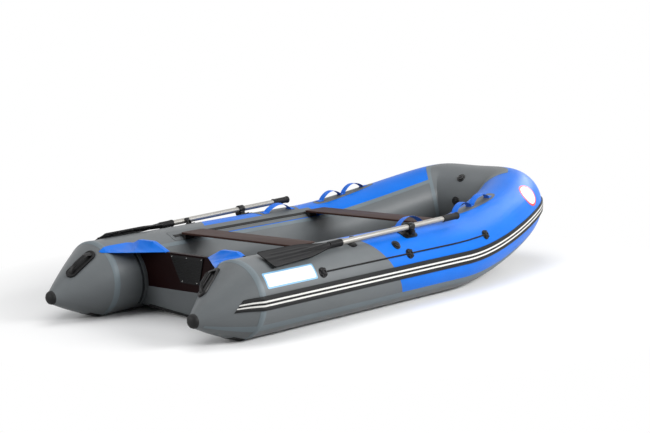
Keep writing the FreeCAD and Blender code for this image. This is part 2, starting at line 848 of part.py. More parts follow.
# Webbing handles
def strap_arch(first, last):
    """One loop of webbing between two feet, each a tube frame and an angle round it."""
    inset = strap_foot_length / 2 - strap_loop_overlap
    lift = tube_radius + face_gap
    start = around(first[0], lift, first[1]) + first[0][1] * inset
    end = around(last[0], lift, last[1]) - last[0][1] * inset
    middle = tube_frame((first[0][0].x + last[0][0].x) / 2)
    top = around(middle, lift + strap_rise, (first[1] + last[1]) / 2)
    side = (end - start).cross(top - start)
    side.normalize()
    thick = side.cross(end - start)
    thick.normalize()
    thick = thick * strap_thickness
    low = Part.Arc(start, top, end).toShape()
    high = Part.Arc(start + thick, top + thick, end + thick).toShape()
    wire = Part.Wire([low, Part.makeLine(end, end + thick), high, Part.makeLine(start + thick, start)])
    arch = Part.Face(wire).extrude(side * strap_width)
    arch.translate(side * (-strap_width / 2))
    return arch


def strap_handle(feet, angles):
    places = [straight_length + foot for foot in feet]
    pieces = []
    for x, angle in zip(places, angles):
        foot = rounded_plate(strap_foot_length, strap_width, strap_thickness, strap_foot_corner)
        foot.translate(V(0, 0, face_gap))
        pieces.append(on_tube(foot, x, angle))
    frames = [(tube_frame(x), angle) for x, angle in zip(places, angles)]
    pieces += [strap_arch(first, last) for first, last in zip(frames, frames[1:])]
    return fused(pieces)


# Grab line and its rosettes
def line_point(x):
    return around(tube_frame(x), tube_radius + line_height, line_angle)


def line_solid(radius):
    """Straight to where the tube bends in, one wide arc, and straight on to the last rosette."""
    first, corner, last = (line_point(x) for x in (rosette_x[0], straight_length, rosette_x[-1]))
    into = corner - first
    into.normalize()
    out = last - corner
    out.normalize()
    turn = into.getAngle(out)
    reach = line_bend_radius * math.tan(turn / 2)
    start, end = corner - into * reach, corner + out * reach
    bisector = out - into
    bisector.normalize()
    middle = corner + bisector * (line_bend_radius / math.cos(turn / 2) - line_bend_radius)
    path = Part.Wire([Part.makeLine(first, start), Part.Arc(start, middle, end).toShape(),
                      Part.makeLine(end, last)])
    circle = Part.Wire(Part.makeCircle(radius, first, V(1, 0, 0)))
    return path.makePipeShell([circle], True, False)


def rosettes(line_hole):
    pieces = []
    for x in rosette_x:
        thickness = rosette_flange_thickness
        flange = rod(rosette_flange_radius, V(0, 0, -thickness), V(0, 0, thickness))
        boss = Part.makeCone(rosette_boss_radius, rosette_boss_radius * rosette_boss_taper,
                             rosette_boss_height)
        pieces.append(on_tube(fused([flange, boss]), x, line_angle))
    return Part.Compound([piece.cut([line_hole, port_tube]) for piece in pieces])


# Air valves
def valve_shape():
    flange = rod(valve_flange_radius, V(0, 0, -valve_flange_thickness), V(0, 0, valve_flange_thickness))
    cap = Part.makeCylinder(valve_cap_radius, valve_cap_height)
    rims = [edge for edge in cap.Edges if edge.CenterOfMass.z > valve_cap_height * 0.9]
    return fused([flange, cap.makeFillet(valve_rounding, rims)])


def bow_valve(angle):
    centre = frame_at(1)[0]
    normal = V(cosd(angle), 0, sind(angle))
    valve = placed(valve_shape(), centre + normal * tube_radius, V(0, 1, 0), normal)
    return valve.cut(front_tube)


# Build, centre and write
nodes = {}


def both(name, shape):
    nodes["port_" + name] = shape
    nodes["starboard_" + name] = mirrored(shape)


both("tube", port_tube)
nodes["bow_tube"] = front_tube
both("stern_cone", port_cone)
both("cone_cap", cone_cap())
both("cone_wear_patch", wear_patch())
nodes["rubbing_strake"] = rubbing_strake()
nodes["hull_bottom"] = hull_bottom()
nodes["keel_strip"] = keel_strip()
for index in range(floor_panel_count):
    nodes["floor_panel_%d" % (index + 1)] = floor_panel(index)
nodes["bow_floor_panel"] = bow_floor_panel()
both("floor_stringer", stringer())
nodes["transom"] = transom()
both("transom_flange", transom_flange())
nodes["transom_skirt"] = transom_skirt()
nodes["transom_bottom_strip"] = transom_bottom_strip()
nodes["outer_motor_pad"] = motor_pad(-face_gap - pad_thickness, -face_gap, True)
nodes["inner_motor_pad"] = motor_pad(transom_thickness + face_gap,
                                     transom_thickness + face_gap + pad_thickness, False)
both("transom_gusset", gusset())
nodes["rear_seat"] = seat(rear_seat_x)
nodes["front_seat"] = seat(front_seat_x)
nodes["rear_seat_brackets"] = seat_brackets(rear_seat_x)
nodes["front_seat_brackets"] = seat_brackets(front_seat_x)
both("seat_track", seat_track())
both("oar_shaft", oar_shaft())
both("oar_blade", oar_blade())
both("oar_grip", oar_grip())
both("oar_yoke", oar_yoke())
both("rowlock_base", rowlock_base())
both("oar_clip", oar_clip())
both("cone_handle", cone_handle())
both("single_strap_handle", strap_handle(single_strap_feet, single_strap_angles))
both("twin_strap_handle", strap_handle(twin_strap_feet, twin_strap_angles))
both("grab_line", line_solid(line_radius))
both("line_rosettes", rosettes(line_solid(line_radius + line_hole_gap)))
both("side_valve", on_tube(valve_shape(), side_valve_x, side_valve_angle).cut(port_tube))
nodes["upper_bow_valve"] = bow_valve(upper_valve_angle)
nodes["lower_bow_valve"] = bow_valve(lower_valve_angle)

strake_box = nodes["rubbing_strake"].optimalBoundingBox(True, False)
bow_front = strake_box.XMax
stern_end = -cone_length - cap_length
centre_x = (bow_front + stern_end) / 2
print("overall length %.2f, beam %.2f, centre x %.3f" % (
    bow_front - stern_end, strake_box.YLength, centre_x))

for name, shape in nodes.items():
    shape.translate(V(-centre_x, 0, 0))
    shape.exportStep("parts/%s.step" % name)
    print("%-28s solids %d volume %.0f valid %s" % (
        name, len(shape.Solids), shape.Volume, shape.isValid()))
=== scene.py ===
import math
from bisect import bisect_left

import bmesh
import bpy
from mathutils import Matrix, Vector, noise


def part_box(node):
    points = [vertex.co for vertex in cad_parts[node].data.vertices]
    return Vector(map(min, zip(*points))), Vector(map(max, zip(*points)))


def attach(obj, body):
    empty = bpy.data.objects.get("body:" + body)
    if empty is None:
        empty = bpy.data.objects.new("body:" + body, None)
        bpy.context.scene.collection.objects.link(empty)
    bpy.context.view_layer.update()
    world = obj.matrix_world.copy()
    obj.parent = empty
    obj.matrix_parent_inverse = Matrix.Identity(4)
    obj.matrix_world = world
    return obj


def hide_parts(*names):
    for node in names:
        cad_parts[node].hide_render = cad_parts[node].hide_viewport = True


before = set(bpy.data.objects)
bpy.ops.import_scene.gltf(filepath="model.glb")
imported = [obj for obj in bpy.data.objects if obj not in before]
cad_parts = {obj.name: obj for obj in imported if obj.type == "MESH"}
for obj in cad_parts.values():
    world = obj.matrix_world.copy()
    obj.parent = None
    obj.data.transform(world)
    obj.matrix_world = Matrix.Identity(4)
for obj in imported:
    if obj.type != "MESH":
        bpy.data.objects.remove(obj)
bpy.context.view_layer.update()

# Metres, in the frame of the CAD model: X forward, Y to port, Z up, origin on the ground.
# Distances along a tube are counted forward from the ring seam at its tail.
RING_X = float(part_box("port_stern_cone")[1][0])
TUBE_RADIUS = 0.210
ONE_DEGREE = math.radians(1) * TUBE_RADIUS
HALF_SPACING = 0.560
STRAIGHT = 1.690
BOW_REACH = 2.780
BOW_RISE = 0.172
BOW_POLES = [
    Vector((STRAIGHT, HALF_SPACING, TUBE_RADIUS)),
    Vector((STRAIGHT + 0.464, HALF_SPACING, TUBE_RADIUS)),
    Vector((BOW_REACH + 0.130, 0.275, TUBE_RADIUS + 0.216)),
    Vector((BOW_REACH, 0.360, TUBE_RADIUS + BOW_RISE)),
    Vector((BOW_REACH, 0.0, TUBE_RADIUS + BOW_RISE)),
]
BOW_STEPS = 400
BOW_SEAM_FRACTION = 0.59
MITRE_FRACTION = 0.646
MITRE_SLANT = 0.100
MITRE_START = 1.75
CONE_LENGTH = 0.300
CONE_END_RADIUS = 0.036
CONE_END_HEIGHT = 0.149
CONE_BULGE = 0.007
RAKE = math.radians(7.0)
TRANSOM_AFT = 0.245
HOLDER_REACH = 0.0245

# Where the colours change round a tube, in degrees: 0 is outboard, 90 the crown, 180 inboard
BLUE_LOW = -34.0
BLUE_HIGH = 133.0
BLUE_START = 1.062
BLUE_SLANT = -0.0023
CROWN_AT_SEAM = 92.0
CROWN_AT_BOW = 80.0
TAPE_WIDTH = 0.036
TAPE_THICKNESS = 0.0009
THIN_TAPE = 0.0007
STRAKE_LOW = -9.5
STRAKE_HIGH = 13.5
STRAKE_END = -0.142
STRAKE_END_SLANT = 0.049
STRAKE_END_LOW = -1.0
STRAKE_END_HIGH = 20.0
STRAKE_STRIPES_TOP = 0.62
STRAKE_NARROWER = 2.4
STRAKE_BOW_NARROWER = 2.6
STRAKE_THICKNESS = 0.008
STRAKE_EDGE = 0.0002

# The photograph's camera, solved from the boat's edges and seams
PHOTO_WIDTH = 650
CAMERA_PLACE = Vector((-6.3889, -7.0237, 1.9315))
CAMERA_YAW = math.radians(42.33)
CAMERA_PITCH = math.radians(-8.14)
CAMERA_ROLL = math.radians(-1.52)
CAMERA_FOCAL_PIXELS = 1788.4
SENSOR_WIDTH = 36.0


def linear(red, green, blue):
    """A screen colour, 0 to 255, as the linear colour that a shader takes."""
    def channel(value):
        value /= 255.0
        return value / 12.92 if value <= 0.04045 else ((value + 0.055) / 1.055) ** 2.4
    return (channel(red), channel(green), channel(blue), 1.0)


# Numbers
def steps(low, high, size):
    count = math.ceil((high - low) / size)
    return [low + (high - low) * k / count for k in range(count + 1)]


def shares(count):
    return [k / count for k in range(count + 1)]


def ramp(value, start, length):
    """0 up to the start, 1 from the length past it, and even between."""
    return min(max((value - start) / length, 0), 1)


def circle(count):
    turns = [2 * math.pi * k / count for k in range(count)]
    return [(math.cos(turn), math.sin(turn)) for turn in turns]


# The path of the port tube's axis
def curve_point(poles, fraction):
    last = len(poles) - 1
    weights = [math.comb(last, k) * fraction ** k * (1.0 - fraction) ** (last - k) for k in range(last + 1)]
    return sum((pole * weight for pole, weight in zip(poles, weights)), Vector())


BOW_MOVES = [b - a for a, b in zip(BOW_POLES, BOW_POLES[1:])]
bow_places = [curve_point(BOW_POLES, share) for share in shares(BOW_STEPS)]
bow_lengths = [0.0]
for before, after in zip(bow_places, bow_places[1:]):
    bow_lengths.append(bow_lengths[-1] + (after - before).length)
BOW_END = STRAIGHT + bow_lengths[-1]
BOW_SEAM = STRAIGHT + bow_lengths[round(BOW_SEAM_FRACTION * BOW_STEPS)]


def bow_distance(fraction):
    place = fraction * BOW_STEPS
    low = int(place)
    return STRAIGHT + bow_lengths[low] + (bow_lengths[low + 1] - bow_lengths[low]) * (place - low)


def seam_line(angle):
    """Distance to the seam of the bow piece, which is cut at a slant like a mitre."""
    return bow_distance(MITRE_FRACTION + MITRE_SLANT * math.cos(math.radians(angle)))


def bow_fraction(length):
    high = bisect_left(bow_lengths, length, 1, BOW_STEPS)
    low = high - 1
    return (low + (length - bow_lengths[low]) / (bow_lengths[high] - bow_lengths[low])) / BOW_STEPS


def axis_frame(distance):
    """Centre, forward and outboard directions and radius of the port tube at a distance."""
    if distance > STRAIGHT:
        fraction = bow_fraction(min(distance - STRAIGHT, bow_lengths[-1]))
        forward = curve_point(BOW_MOVES, fraction).normalized()
        outboard = Vector((0, 0, 1)).cross(forward).normalized()
        return curve_point(BOW_POLES, fraction), forward, outboard, TUBE_RADIUS
    share = ramp(-distance, 0, CONE_LENGTH)
    height = TUBE_RADIUS + (CONE_END_HEIGHT - TUBE_RADIUS) * share
    radius = TUBE_RADIUS + (CONE_END_RADIUS - TUBE_RADIUS) * share
    radius += 4 * CONE_BULGE * share * (1 - share)
    return Vector((distance, HALF_SPACING, height)), Vector((1, 0, 0)), Vector((0, 1, 0)), radius


def tube_point(distance, angle, lift=0.0):
    """A point over the port tube's skin, with the skin's normal and the forward direction there."""
    centre, forward, outboard, radius = axis_frame(distance)
    turn = math.radians(angle)
    normal = outboard * math.cos(turn) + forward.cross(outboard) * math.sin(turn)
    return centre + normal * (radius + lift), normal, forward


def skin(distance, angle, lift=0.0, side=1):
    """A point on a tube's skin, or lifted off it. Past the bow's middle it goes on down the other side."""
    if distance > BOW_END:
        distance, side = 2 * BOW_END - distance, -side
    point = tube_point(distance, angle, lift)[0]
    return Vector((point.x + RING_X, point.y * side, point.z))


def skin_normal(distance, angle, side):
    return (skin(distance, angle, 0, side) - skin(distance, angle, -TUBE_RADIUS, side)).normalized()


def place_from(x_axis, y_axis, z_axis, origin, side=1):
    """A place from its axes and its origin, which is counted from the ring seam, or its mirror image."""
    matrix = Matrix((x_axis, y_axis, z_axis)).transposed().to_4x4()
    matrix.translation = origin + Vector((RING_X, 0, 0))
    return Matrix.Diagonal((1, side, 1, 1)) @ matrix


def skin_place(distance, angle, side=1):
    """A place on the skin: x runs forward along it, z is its normal."""
    origin, normal, forward = tube_point(distance, angle)
    return place_from(forward, normal.cross(forward), normal, origin, side)


def distance_of(x):
    """Distance along the tube at which its axis is x forward of the ring seam."""
    if x <= STRAIGHT:
        return x
    low, high = STRAIGHT, BOW_SEAM
    for _ in range(40):
        middle = (low + high) / 2
        if axis_frame(middle)[0].x < x:
            low = middle
        else:
            high = middle
    return low


def from_near_tail(distance):
    return min(distance, 2 * BOW_END - distance)


def moved_to_bow(distance, shift):
    """A distance moved towards the bow's middle, from whichever side it is on."""
    return distance + shift if distance < BOW_END else distance - shift


# Making objects
def finished_object(name, mesh, materials, replaces=(), body="hull", sharp=35.0):
    mesh.set_sharp_from_angle(angle=math.radians(sharp))
    item = bpy.data.objects.new(name, mesh)
    bpy.context.collection.objects.link(item)
    for material in materials:
        mesh.materials.append(material)
    for polygon in mesh.polygons:
        polygon.use_smooth = True
    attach(item, body)
    if replaces:
        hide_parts(*replaces)


def mesh_from(bm, name):
    bmesh.ops.recalc_face_normals(bm, faces=bm.faces)
    mesh = bpy.data.meshes.new(name)
    bm.to_mesh(mesh)
    bm.free()
    return mesh


def joined(name, pieces, materials, replaces=(), body="hull", sharp=35.0):
    """One object from several small meshes, each of them in its place."""
    whole = bmesh.new()
    for bm in pieces:
        piece = mesh_from(bm, "piece")
        whole.from_mesh(piece)
        bpy.data.meshes.remove(piece)
    mesh = bpy.data.meshes.new(name)
    whole.to_mesh(mesh)
    whole.free()
    finished_object(name, mesh, materials, replaces, body, sharp)


def placed(bm, matrix):
    bmesh.ops.transform(bm, matrix=matrix, verts=bm.verts)
    return bm


def turned(degrees, axis):
    return Matrix.Rotation(math.radians(degrees), 4, axis)


def bridge(bm, rows, closed=False):
    """Faces between neighbouring rows of vertices, each with its number along the row."""
    made = []
    for near, far in zip(rows, rows[1:]):
        count = max(len(near), len(far))
        for k in range(count if closed else count - 1):
            after = (k + 1) % count
            corners = dict.fromkeys((near[k % len(near)], near[after % len(near)],
                                     far[after % len(far)], far[k % len(far)]))
            if len(corners) > 2:
                made.append((bm.faces.new(list(corners)), k))
    return made


def drawn_along(profile, rows_of_points):
    """A strip with a profile's material numbers, which are the last of its three values."""
    bm = bmesh.new()
    rows = [[bm.verts.new(point) for point in row] for row in rows_of_points]
    for face, k in bridge(bm, rows):
        face.material_index = profile[k][2]
    return bm, rows


def lathe(profile, segments=40):
    """A turned shape about z from a list of (radius, height) points."""
    bm = bmesh.new()
    rings = []
    for radius, height in profile:
        turns = circle(segments) if radius else [(0, 0)]
        rings.append([bm.verts.new((radius * c, radius * s, height)) for c, s in turns])
    bridge(bm, rings, closed=True)
    for ring in (rings[0], rings[-1]):
        if len(ring) > 2:
            bm.faces.new(ring)
    return bm


def rounded_box(length, width, height, bevel, centre=(0, 0, 0), segments=3):
    bm = bmesh.new()
    bmesh.ops.create_cube(bm, size=1.0)
    bmesh.ops.scale(bm, vec=(length, width, height), verts=bm.verts)
    bmesh.ops.bevel(bm, geom=bm.edges[:], offset=bevel, segments=segments, profile=0.5,
                    affect="EDGES", clamp_overlap=True)
    bmesh.ops.translate(bm, vec=centre, verts=bm.verts)
    return bm


def boxes_around(place, count, first, *box):
    """Copies of one rounded box, spaced evenly about a place's z from a first angle on."""
    return [placed(rounded_box(*box), place @ turned(first + 360 / count * k, "Z")) for k in range(count)]


def heading(points, k):
    return (points[min(k + 1, len(points) - 1)] - points[max(k - 1, 0)]).normalized()


def tube_along(points, radii, segments):
    """A round bar along a list of points, with a radius for each."""
    bm = bmesh.new()
    rings = []
    for k, (point, radius) in enumerate(zip(points, radii)):
        ahead = heading(points, k)
        side = ahead.cross(Vector((0, 0, 1))).normalized()
        up = side.cross(ahead)
        rings.append([bm.verts.new(point + (side * c + up * s) * radius) for c, s in circle(segments)])
    bridge(bm, rings, closed=True)
    bm.faces.new(rings[0][::-1])
    bm.faces.new(rings[-1])
    return bm


def cut(bm, point, normal):
    bmesh.ops.bisect_plane(bm, geom=bm.verts[:] + bm.edges[:] + bm.faces[:], plane_co=point,
                           plane_no=normal, dist=1e-7)


def tube_skin(name, node, distances, colour_of=None, cuts=(), side=1, point_of=skin, swell=0.0):
    """A sheet right round a tube, cut along its colour lines and coloured face by face."""
    bm = bmesh.new()
    around = steps(-90.0, 270.0, 5.0)
    bridge(bm, [[bm.verts.new((d, a, 0)) for a in around] for d in distances])
    for point, normal in cuts:
        cut(bm, point, normal)
    paint = bm.loops.layers.uv.new("skin")
    for face in bm.faces:
        middle = face.calc_center_median()
        face.material_index = 1 if colour_of and colour_of(middle.x, middle.y) else 0
        for loop in face.loops:
            at = loop.vert.co
            loop[paint].uv = (at.x, math.radians(at.y) * TUBE_RADIUS)
    for vert in bm.verts:
        d, a = vert.co.x, vert.co.y
        vert.co = point_of(d, a, swell * unevenness(d, a), side)
    bmesh.ops.remove_doubles(bm, verts=bm.verts, dist=1e-6)
    materials = (grey_fabric, blue_fabric) if colour_of else (grey_fabric,)
    finished_object(name, mesh_from(bm, name), materials, [node])


RIM_DEPTH = 0.0006


def patch_mesh(outline, thickness, side=1, lift=0.0, step=0.012, number=0):
    """A thin sheet on the skin within an outline of (distance, degrees) points, with a rim all round."""
    bm = bmesh.new()
    bm.faces.new([bm.verts.new((d, a * ONE_DEGREE, 0)) for d, a in outline])
    for axis in (0, 1):
        low = min(v.co[axis] for v in bm.verts)
        high = max(v.co[axis] for v in bm.verts)
        for value in steps(low, high, step)[1:-1]:
            point, normal = Vector(), Vector()
            point[axis], normal[axis] = value, 1
            cut(bm, point, normal)
    paint = bm.loops.layers.uv.new("skin")
    rim = [e for e in bm.edges if len(e.link_faces) == 1]
    grown = bmesh.ops.extrude_edge_only(bm, edges=rim)["geom"]
    for vert in bm.verts:
        vert.co.z = lift + thickness
    for item in grown:
        if isinstance(item, bmesh.types.BMVert):
            item.co.z = lift - RIM_DEPTH
    for face in bm.faces:
        face.material_index = number
        for loop in face.loops:
            loop[paint].uv = (loop.vert.co.x, loop.vert.co.y)
    for vert in bm.verts:
        vert.co = skin(vert.co.x, vert.co.y / ONE_DEGREE, vert.co.z, side)
    bm.normal_update()
    return bm


# Outlines on the skin, in (distance, degrees)
def rectangle(start, end, low, high):
    return [(start, low), (end, low), (end, high), (start, high)]


def rounded_outline(points, radius):
    """Round the corners of an outline. The radius is in metres."""
    flat = [Vector((d, a * ONE_DEGREE)) for d, a in points]
    result = []
    for k, corner in enumerate(flat):
        before, after = flat[k - 1], flat[(k + 1) % len(flat)]
        into, out = (corner - before), (after - corner)
        reach = min(radius, into.length * 0.45, out.length * 0.45)
        start, end = corner - into.normalized() * reach, corner + out.normalized() * reach
        for t in shares(5):
            result.append(start * (1 - t) ** 2 + corner * 2 * t * (1 - t) + end * t ** 2)
    return [(p.x, p.y / ONE_DEGREE) for p in result]


def oval_outline(distance, angle, length, width, power=1.0, lean=0.0):
    """An oval. A lean turns it, in degrees round the tube for each metre along it."""
    points = []
    for c, s in circle(40):
        ahead = length / 2 * math.copysign(abs(c) ** power, c)
        points.append((distance + ahead,
                       angle + lean * ahead + width / 2 / ONE_DEGREE * math.copysign(abs(s) ** power, s)))
    return points


# Materials
def node_maker(owner):
    """A function that adds a node to a material or world, which is emptied first.

    Its numbered and named values are for the node's inputs: an output is linked, the rest is set.
    A name that is no input is a setting of the node. An underline in a name stands for a space.
    """
    owner.use_nodes = True
    tree = owner.node_tree
    tree.nodes.clear()

    def fill(socket, value):
        if isinstance(value, bpy.types.NodeSocket):
            tree.links.new(value, socket)
        else:
            socket.default_value = value

    def add(kind, *numbered, **named):
        node = tree.nodes.new("ShaderNode" + kind)
        for key, value in named.items():
            name = key.replace("_", " ")
            if name in node.inputs:
                fill(node.inputs[name], value)
            else:
                setattr(node, key, value)
        for number, value in enumerate(numbered):
            fill(node.inputs[number], value)
        return node

    return add


def new_material(name):
    material = bpy.data.materials.new(name)
    add = node_maker(material)
    return material, add, add("TexCoord").outputs


def shade(add, **values):
    shader = add("BsdfPrincipled", **values)
    add("OutputMaterial", Surface=shader.outputs["BSDF"])


def noise_at(add, place, scale, detail, **more):
    return add("TexNoise", Vector=place, Scale=scale, Detail=detail, **more).outputs["Fac"]


def waves_at(add, place, length, direction, **more):
    """Waves across a direction, of a length in metres."""
    return add("TexWave", Vector=place, Scale=2 * math.pi / (20 * length),
               bands_direction=direction, **more).outputs["Fac"]


def product(add, first, second):
    return add("Math", first, second, operation="MULTIPLY").outputs["Value"]


def stretched(add, place, scale):
    return add("Mapping", Vector=place, Scale=scale).outputs["Vector"]


def bumped(add, height, strength, distance, **more):
    return add("Bump", Height=height, Strength=strength, Distance=distance, **more).outputs["Normal"]


def range_of(add, pattern, middle, less, more):
    """A pattern's values spread about a middle value, from less to more than it."""
    node = add("MapRange", Value=pattern, To_Min=middle - less, To_Max=middle + more)
    return node.outputs["Result"]


def colour_spread(add, pattern, colour, spread):
    """A ramp from a darker to a lighter form of one colour, driven by a pattern."""
    node = add("ValToRGB", Fac=pattern)
    low, high = node.color_ramp.elements
    low.position, high.position = 0.25, 0.75
    low.color = [channel * (1 - spread) for channel in colour[:3]] + [1]
    high.color = [min(1, channel * (1 + spread)) for channel in colour[:3]] + [1]
    return node.outputs["Color"]


def coated_fabric(name, colour, roughness=0.42, weave=0.0011, specular=0.30):
    """Smooth coated cloth: a faint weave shows through the coating, with a soft satin gloss."""
    material, add, place = new_material(name)
    cloud = noise_at(add, place["Object"], 5.0, 5.0)
    fine = noise_at(add, place["Object"], 90.0, 3.0)
    swell = noise_at(add, place["Object"], 9.0, 1.5)
    cross = product(add, *(waves_at(add, place["UV"], weave, direction) for direction in "XY"))
    threads = add("Math", cross, 0.35, fine, operation="MULTIPLY_ADD").outputs["Value"]
    woven = bumped(add, threads, 0.22, 0.0004)
    shade(add, Base_Color=colour_spread(add, cloud, colour, 0.07),
          Roughness=range_of(add, fine, roughness, 0.05, 0.07),
          Specular_IOR_Level=specular, Coat_Weight=0.05, Coat_Roughness=0.30,
          Normal=bumped(add, swell, 0.35, 0.003, Normal=woven))
    return material


def grained(name, colour, roughness, specular=0.5, grain_scale=900.0, spread=0.10, coat=0.0):
    """Moulded plastic or rubber: fine grain in the surface, and dull and shiny areas."""
    material, add, place = new_material(name)
    cloud = noise_at(add, place["Object"], 22.0, 6.0)
    grain = noise_at(add, place["Object"], grain_scale, 2.0)
    shade(add, Base_Color=colour_spread(add, cloud, colour, spread),
          Roughness=range_of(add, cloud, roughness, 0.08, 0.10),
          Specular_IOR_Level=specular, Coat_Weight=coat, Normal=bumped(add, grain, 0.3, 0.0003))
    return material


def brushed_metal(name, colour, roughness):
    material, add, place = new_material(name)
    lines = noise_at(add, stretched(add, place["Object"], (6, 700, 700)), 1.0, 3.0)
    shade(add, Base_Color=colour_spread(add, lines, colour, 0.05), Metallic=0.85,
          Roughness=range_of(add, lines, roughness, 0.06, 0.10), Normal=bumped(add, lines, 0.1, 0.0001))
    return material


def plywood(name, colour, roughness=0.46, specular=0.25, stretch=(45, 2.0, 45)):
    """Film-faced plywood: dark varnish, long faint grain, and thin plies where an edge shows."""
    material, add, place = new_material(name)
    grain = noise_at(add, stretched(add, place["Object"], stretch), 1.0, 8.0, Roughness=0.62,
                     Distortion=1.1)
    plies = waves_at(add, place["Object"], 0.0030, "Z", Distortion=0.6, Detail=1.0)
    facing = add("SeparateXYZ", Vector=add("NewGeometry").outputs["True Normal"])
    flat = add("Math", facing.outputs["Z"], operation="ABSOLUTE")
    is_edge = add("Math", flat.outputs["Value"], 0.5, operation="LESS_THAN")
    mix = add("Mix", data_type="RGBA", Factor=is_edge.outputs["Value"],
              A=colour_spread(add, grain, colour, 0.34),
              B=colour_spread(add, plies, [channel * 1.25 for channel in colour], 0.4))
    shade(add, Base_Color=mix.outputs["Result"], Specular_IOR_Level=specular,
          Roughness=range_of(add, grain, roughness, 0.07, 0.12), Normal=bumped(add, grain, 0.25, 0.0003))
    return material


def webbing(name, colour, rib=0.0022, sheen=0.12):
    """Woven strap: cross ribs with lengthwise rows, from the strap's own UV in metres."""
    material, add, place = new_material(name)
    weave = product(add, waves_at(add, place["UV"], rib, "X"), waves_at(add, place["UV"], rib * 2.2, "Y"))
    shade(add, Base_Color=colour_spread(add, weave, colour, 0.22), Roughness=0.72,
          Specular_IOR_Level=0.25, Sheen_Weight=sheen, Sheen_Roughness=0.5,
          Normal=bumped(add, weave, 0.6, 0.0008))
    return material


grey_fabric = coated_fabric("grey_fabric", linear(93, 97, 99))
blue_fabric = coated_fabric("blue_fabric", linear(0, 103, 205), 0.38, specular=0.16)
tape_fabric = coated_fabric("tape_fabric", linear(101, 111, 116), 0.5, weave=0.0016)
patch_fabric = coated_fabric("patch_fabric", linear(88, 92, 94), 0.48, weave=0.0016)
dark_fabric = coated_fabric("dark_fabric", linear(34, 37, 40), 0.5)
label_film = coated_fabric("label_film", linear(226, 232, 236), 0.3)
label_edge = coated_fabric("label_edge", linear(120, 170, 205), 0.3)
disc_edge = coated_fabric("disc_edge", linear(214, 46, 44), 0.3)
strake_rubber = grained("strake_rubber", linear(17, 18, 19), 0.50, 0.22)
strake_white = grained("strake_white", linear(216, 215, 211), 0.45, spread=0.03)
black_rubber = grained("black_rubber", linear(17, 17, 18), 0.58, 0.22)
valve_plastic = grained("valve_plastic", linear(13, 13, 14), 0.28, 0.3, 1400.0, coat=0.15)
black_plastic = grained("black_plastic", linear(12, 12, 13), 0.42, 0.22, 1400.0)
blade_plastic = grained("blade_plastic", linear(12, 12, 14), 0.45, 0.14, 1100.0)
oar_metal = brushed_metal("oar_metal", linear(158, 156, 151), 0.38)
screw_metal = brushed_metal("screw_metal", linear(190, 190, 188), 0.25)
floor_metal = brushed_metal("floor_metal", linear(178, 180, 181), 0.38)
seat_wood = plywood("seat_wood", linear(46, 28, 23), 0.55, 0.12)
transom_wood = plywood("transom_wood", linear(16, 3, 3), specular=0.08)
floor_wood = plywood("floor_wood", linear(66, 46, 39), 0.5, stretch=(2.0, 45, 45))
blue_webbing = webbing("blue_webbing", linear(0, 108, 222))
line_fibre = webbing("line_fibre", linear(15, 15, 16), rib=0.0012, sheen=0.0)


# Air tubes
SWELL = 0.0006


def unevenness(distance, angle):
    """How a fabric tube under pressure swells here, as a share of the most that it does."""
    turn = math.radians(angle)
    return noise.noise(Vector((distance * 3.0, math.cos(turn) * 0.7, math.sin(turn) * 0.7)))


def blue_on_side(distance, angle):
    return BLUE_LOW <= angle <= BLUE_HIGH and distance >= BLUE_START + BLUE_SLANT * angle


def crown_line(distance):
    """Angle at which the bow piece changes colour on its top."""
    share = (from_near_tail(distance) - BOW_SEAM) / (BOW_END - BOW_SEAM)
    return CROWN_AT_SEAM + (CROWN_AT_BOW - CROWN_AT_SEAM) * share


def blue_on_bow(distance, angle):
    return BLUE_LOW < angle < crown_line(distance)


def on_side(distance, angle, lift, side):
    """A point of the side tube, whose front end follows the slanted seam."""
    share = ramp(distance, MITRE_START, BOW_SEAM - MITRE_START)
    return skin(distance + (seam_line(angle) - BOW_SEAM) * share, angle, lift, side)


def slanted(distance, angle):
    """A distance on the bow piece, whose ends follow the slanted seams."""
    share = BOW_END - from_near_tail(distance)
    return moved_to_bow(distance, (seam_line(angle) - BOW_SEAM) * share / (BOW_END - BOW_SEAM))


def on_bow(distance, angle, lift, side):
    return skin(slanted(distance, angle), angle, lift, side)


SLANT_CUT = ((BLUE_START, 0, 0), (1, -BLUE_SLANT, 0))
LOW_CUT = ((0, BLUE_LOW, 0), (0, 1, 0))
HIGH_CUT = ((0, BLUE_HIGH, 0), (0, 1, 0))
CROWN_FALL = (CROWN_AT_SEAM - CROWN_AT_BOW) / (BOW_END - BOW_SEAM)
CROWN_CUTS = [((BOW_END, CROWN_AT_BOW, 0), (fall, 1, 0)) for fall in (CROWN_FALL, -CROWN_FALL)]


def air_tube(side_name, side):
    tube_skin(side_name + "_air_tube", side_name + "_tube", steps(0, BOW_SEAM, 0.014),
              blue_on_side, (SLANT_CUT, LOW_CUT, HIGH_CUT), side, on_side, SWELL)


def bow_air_tube():
    tube_skin("bow_air_tube", "bow_tube", steps(BOW_SEAM, 2 * BOW_END - BOW_SEAM, 0.013),
              blue_on_bow, (LOW_CUT, *CROWN_CUTS), 1, on_bow)


def tail_cone(side_name, side):
    tube_skin(side_name + "_tail", side_name + "_stern_cone", steps(-CONE_LENGTH, 0, 0.012),
              side=side)


TAIL_CAP = [(0.0, 0.0255), (0.012, 0.0248), (0.025, 0.021), (0.034, 0.013), (0.038, 0.003),
            (0.0392, -0.010), (0.0405, -0.018), (0.0430, -0.019), (0.0440, -0.024), (0.0425, -0.025),
            (0.030, -0.024)]


def tail_cap(side_name, side):
    place = Matrix.Translation((RING_X - CONE_LENGTH, side * HALF_SPACING, CONE_END_HEIGHT))
    joined(side_name + "_tail_cap", [placed(lathe(TAIL_CAP), place @ turned(-90, "Y"))], (black_rubber,),
           [side_name + "_cone_cap"])


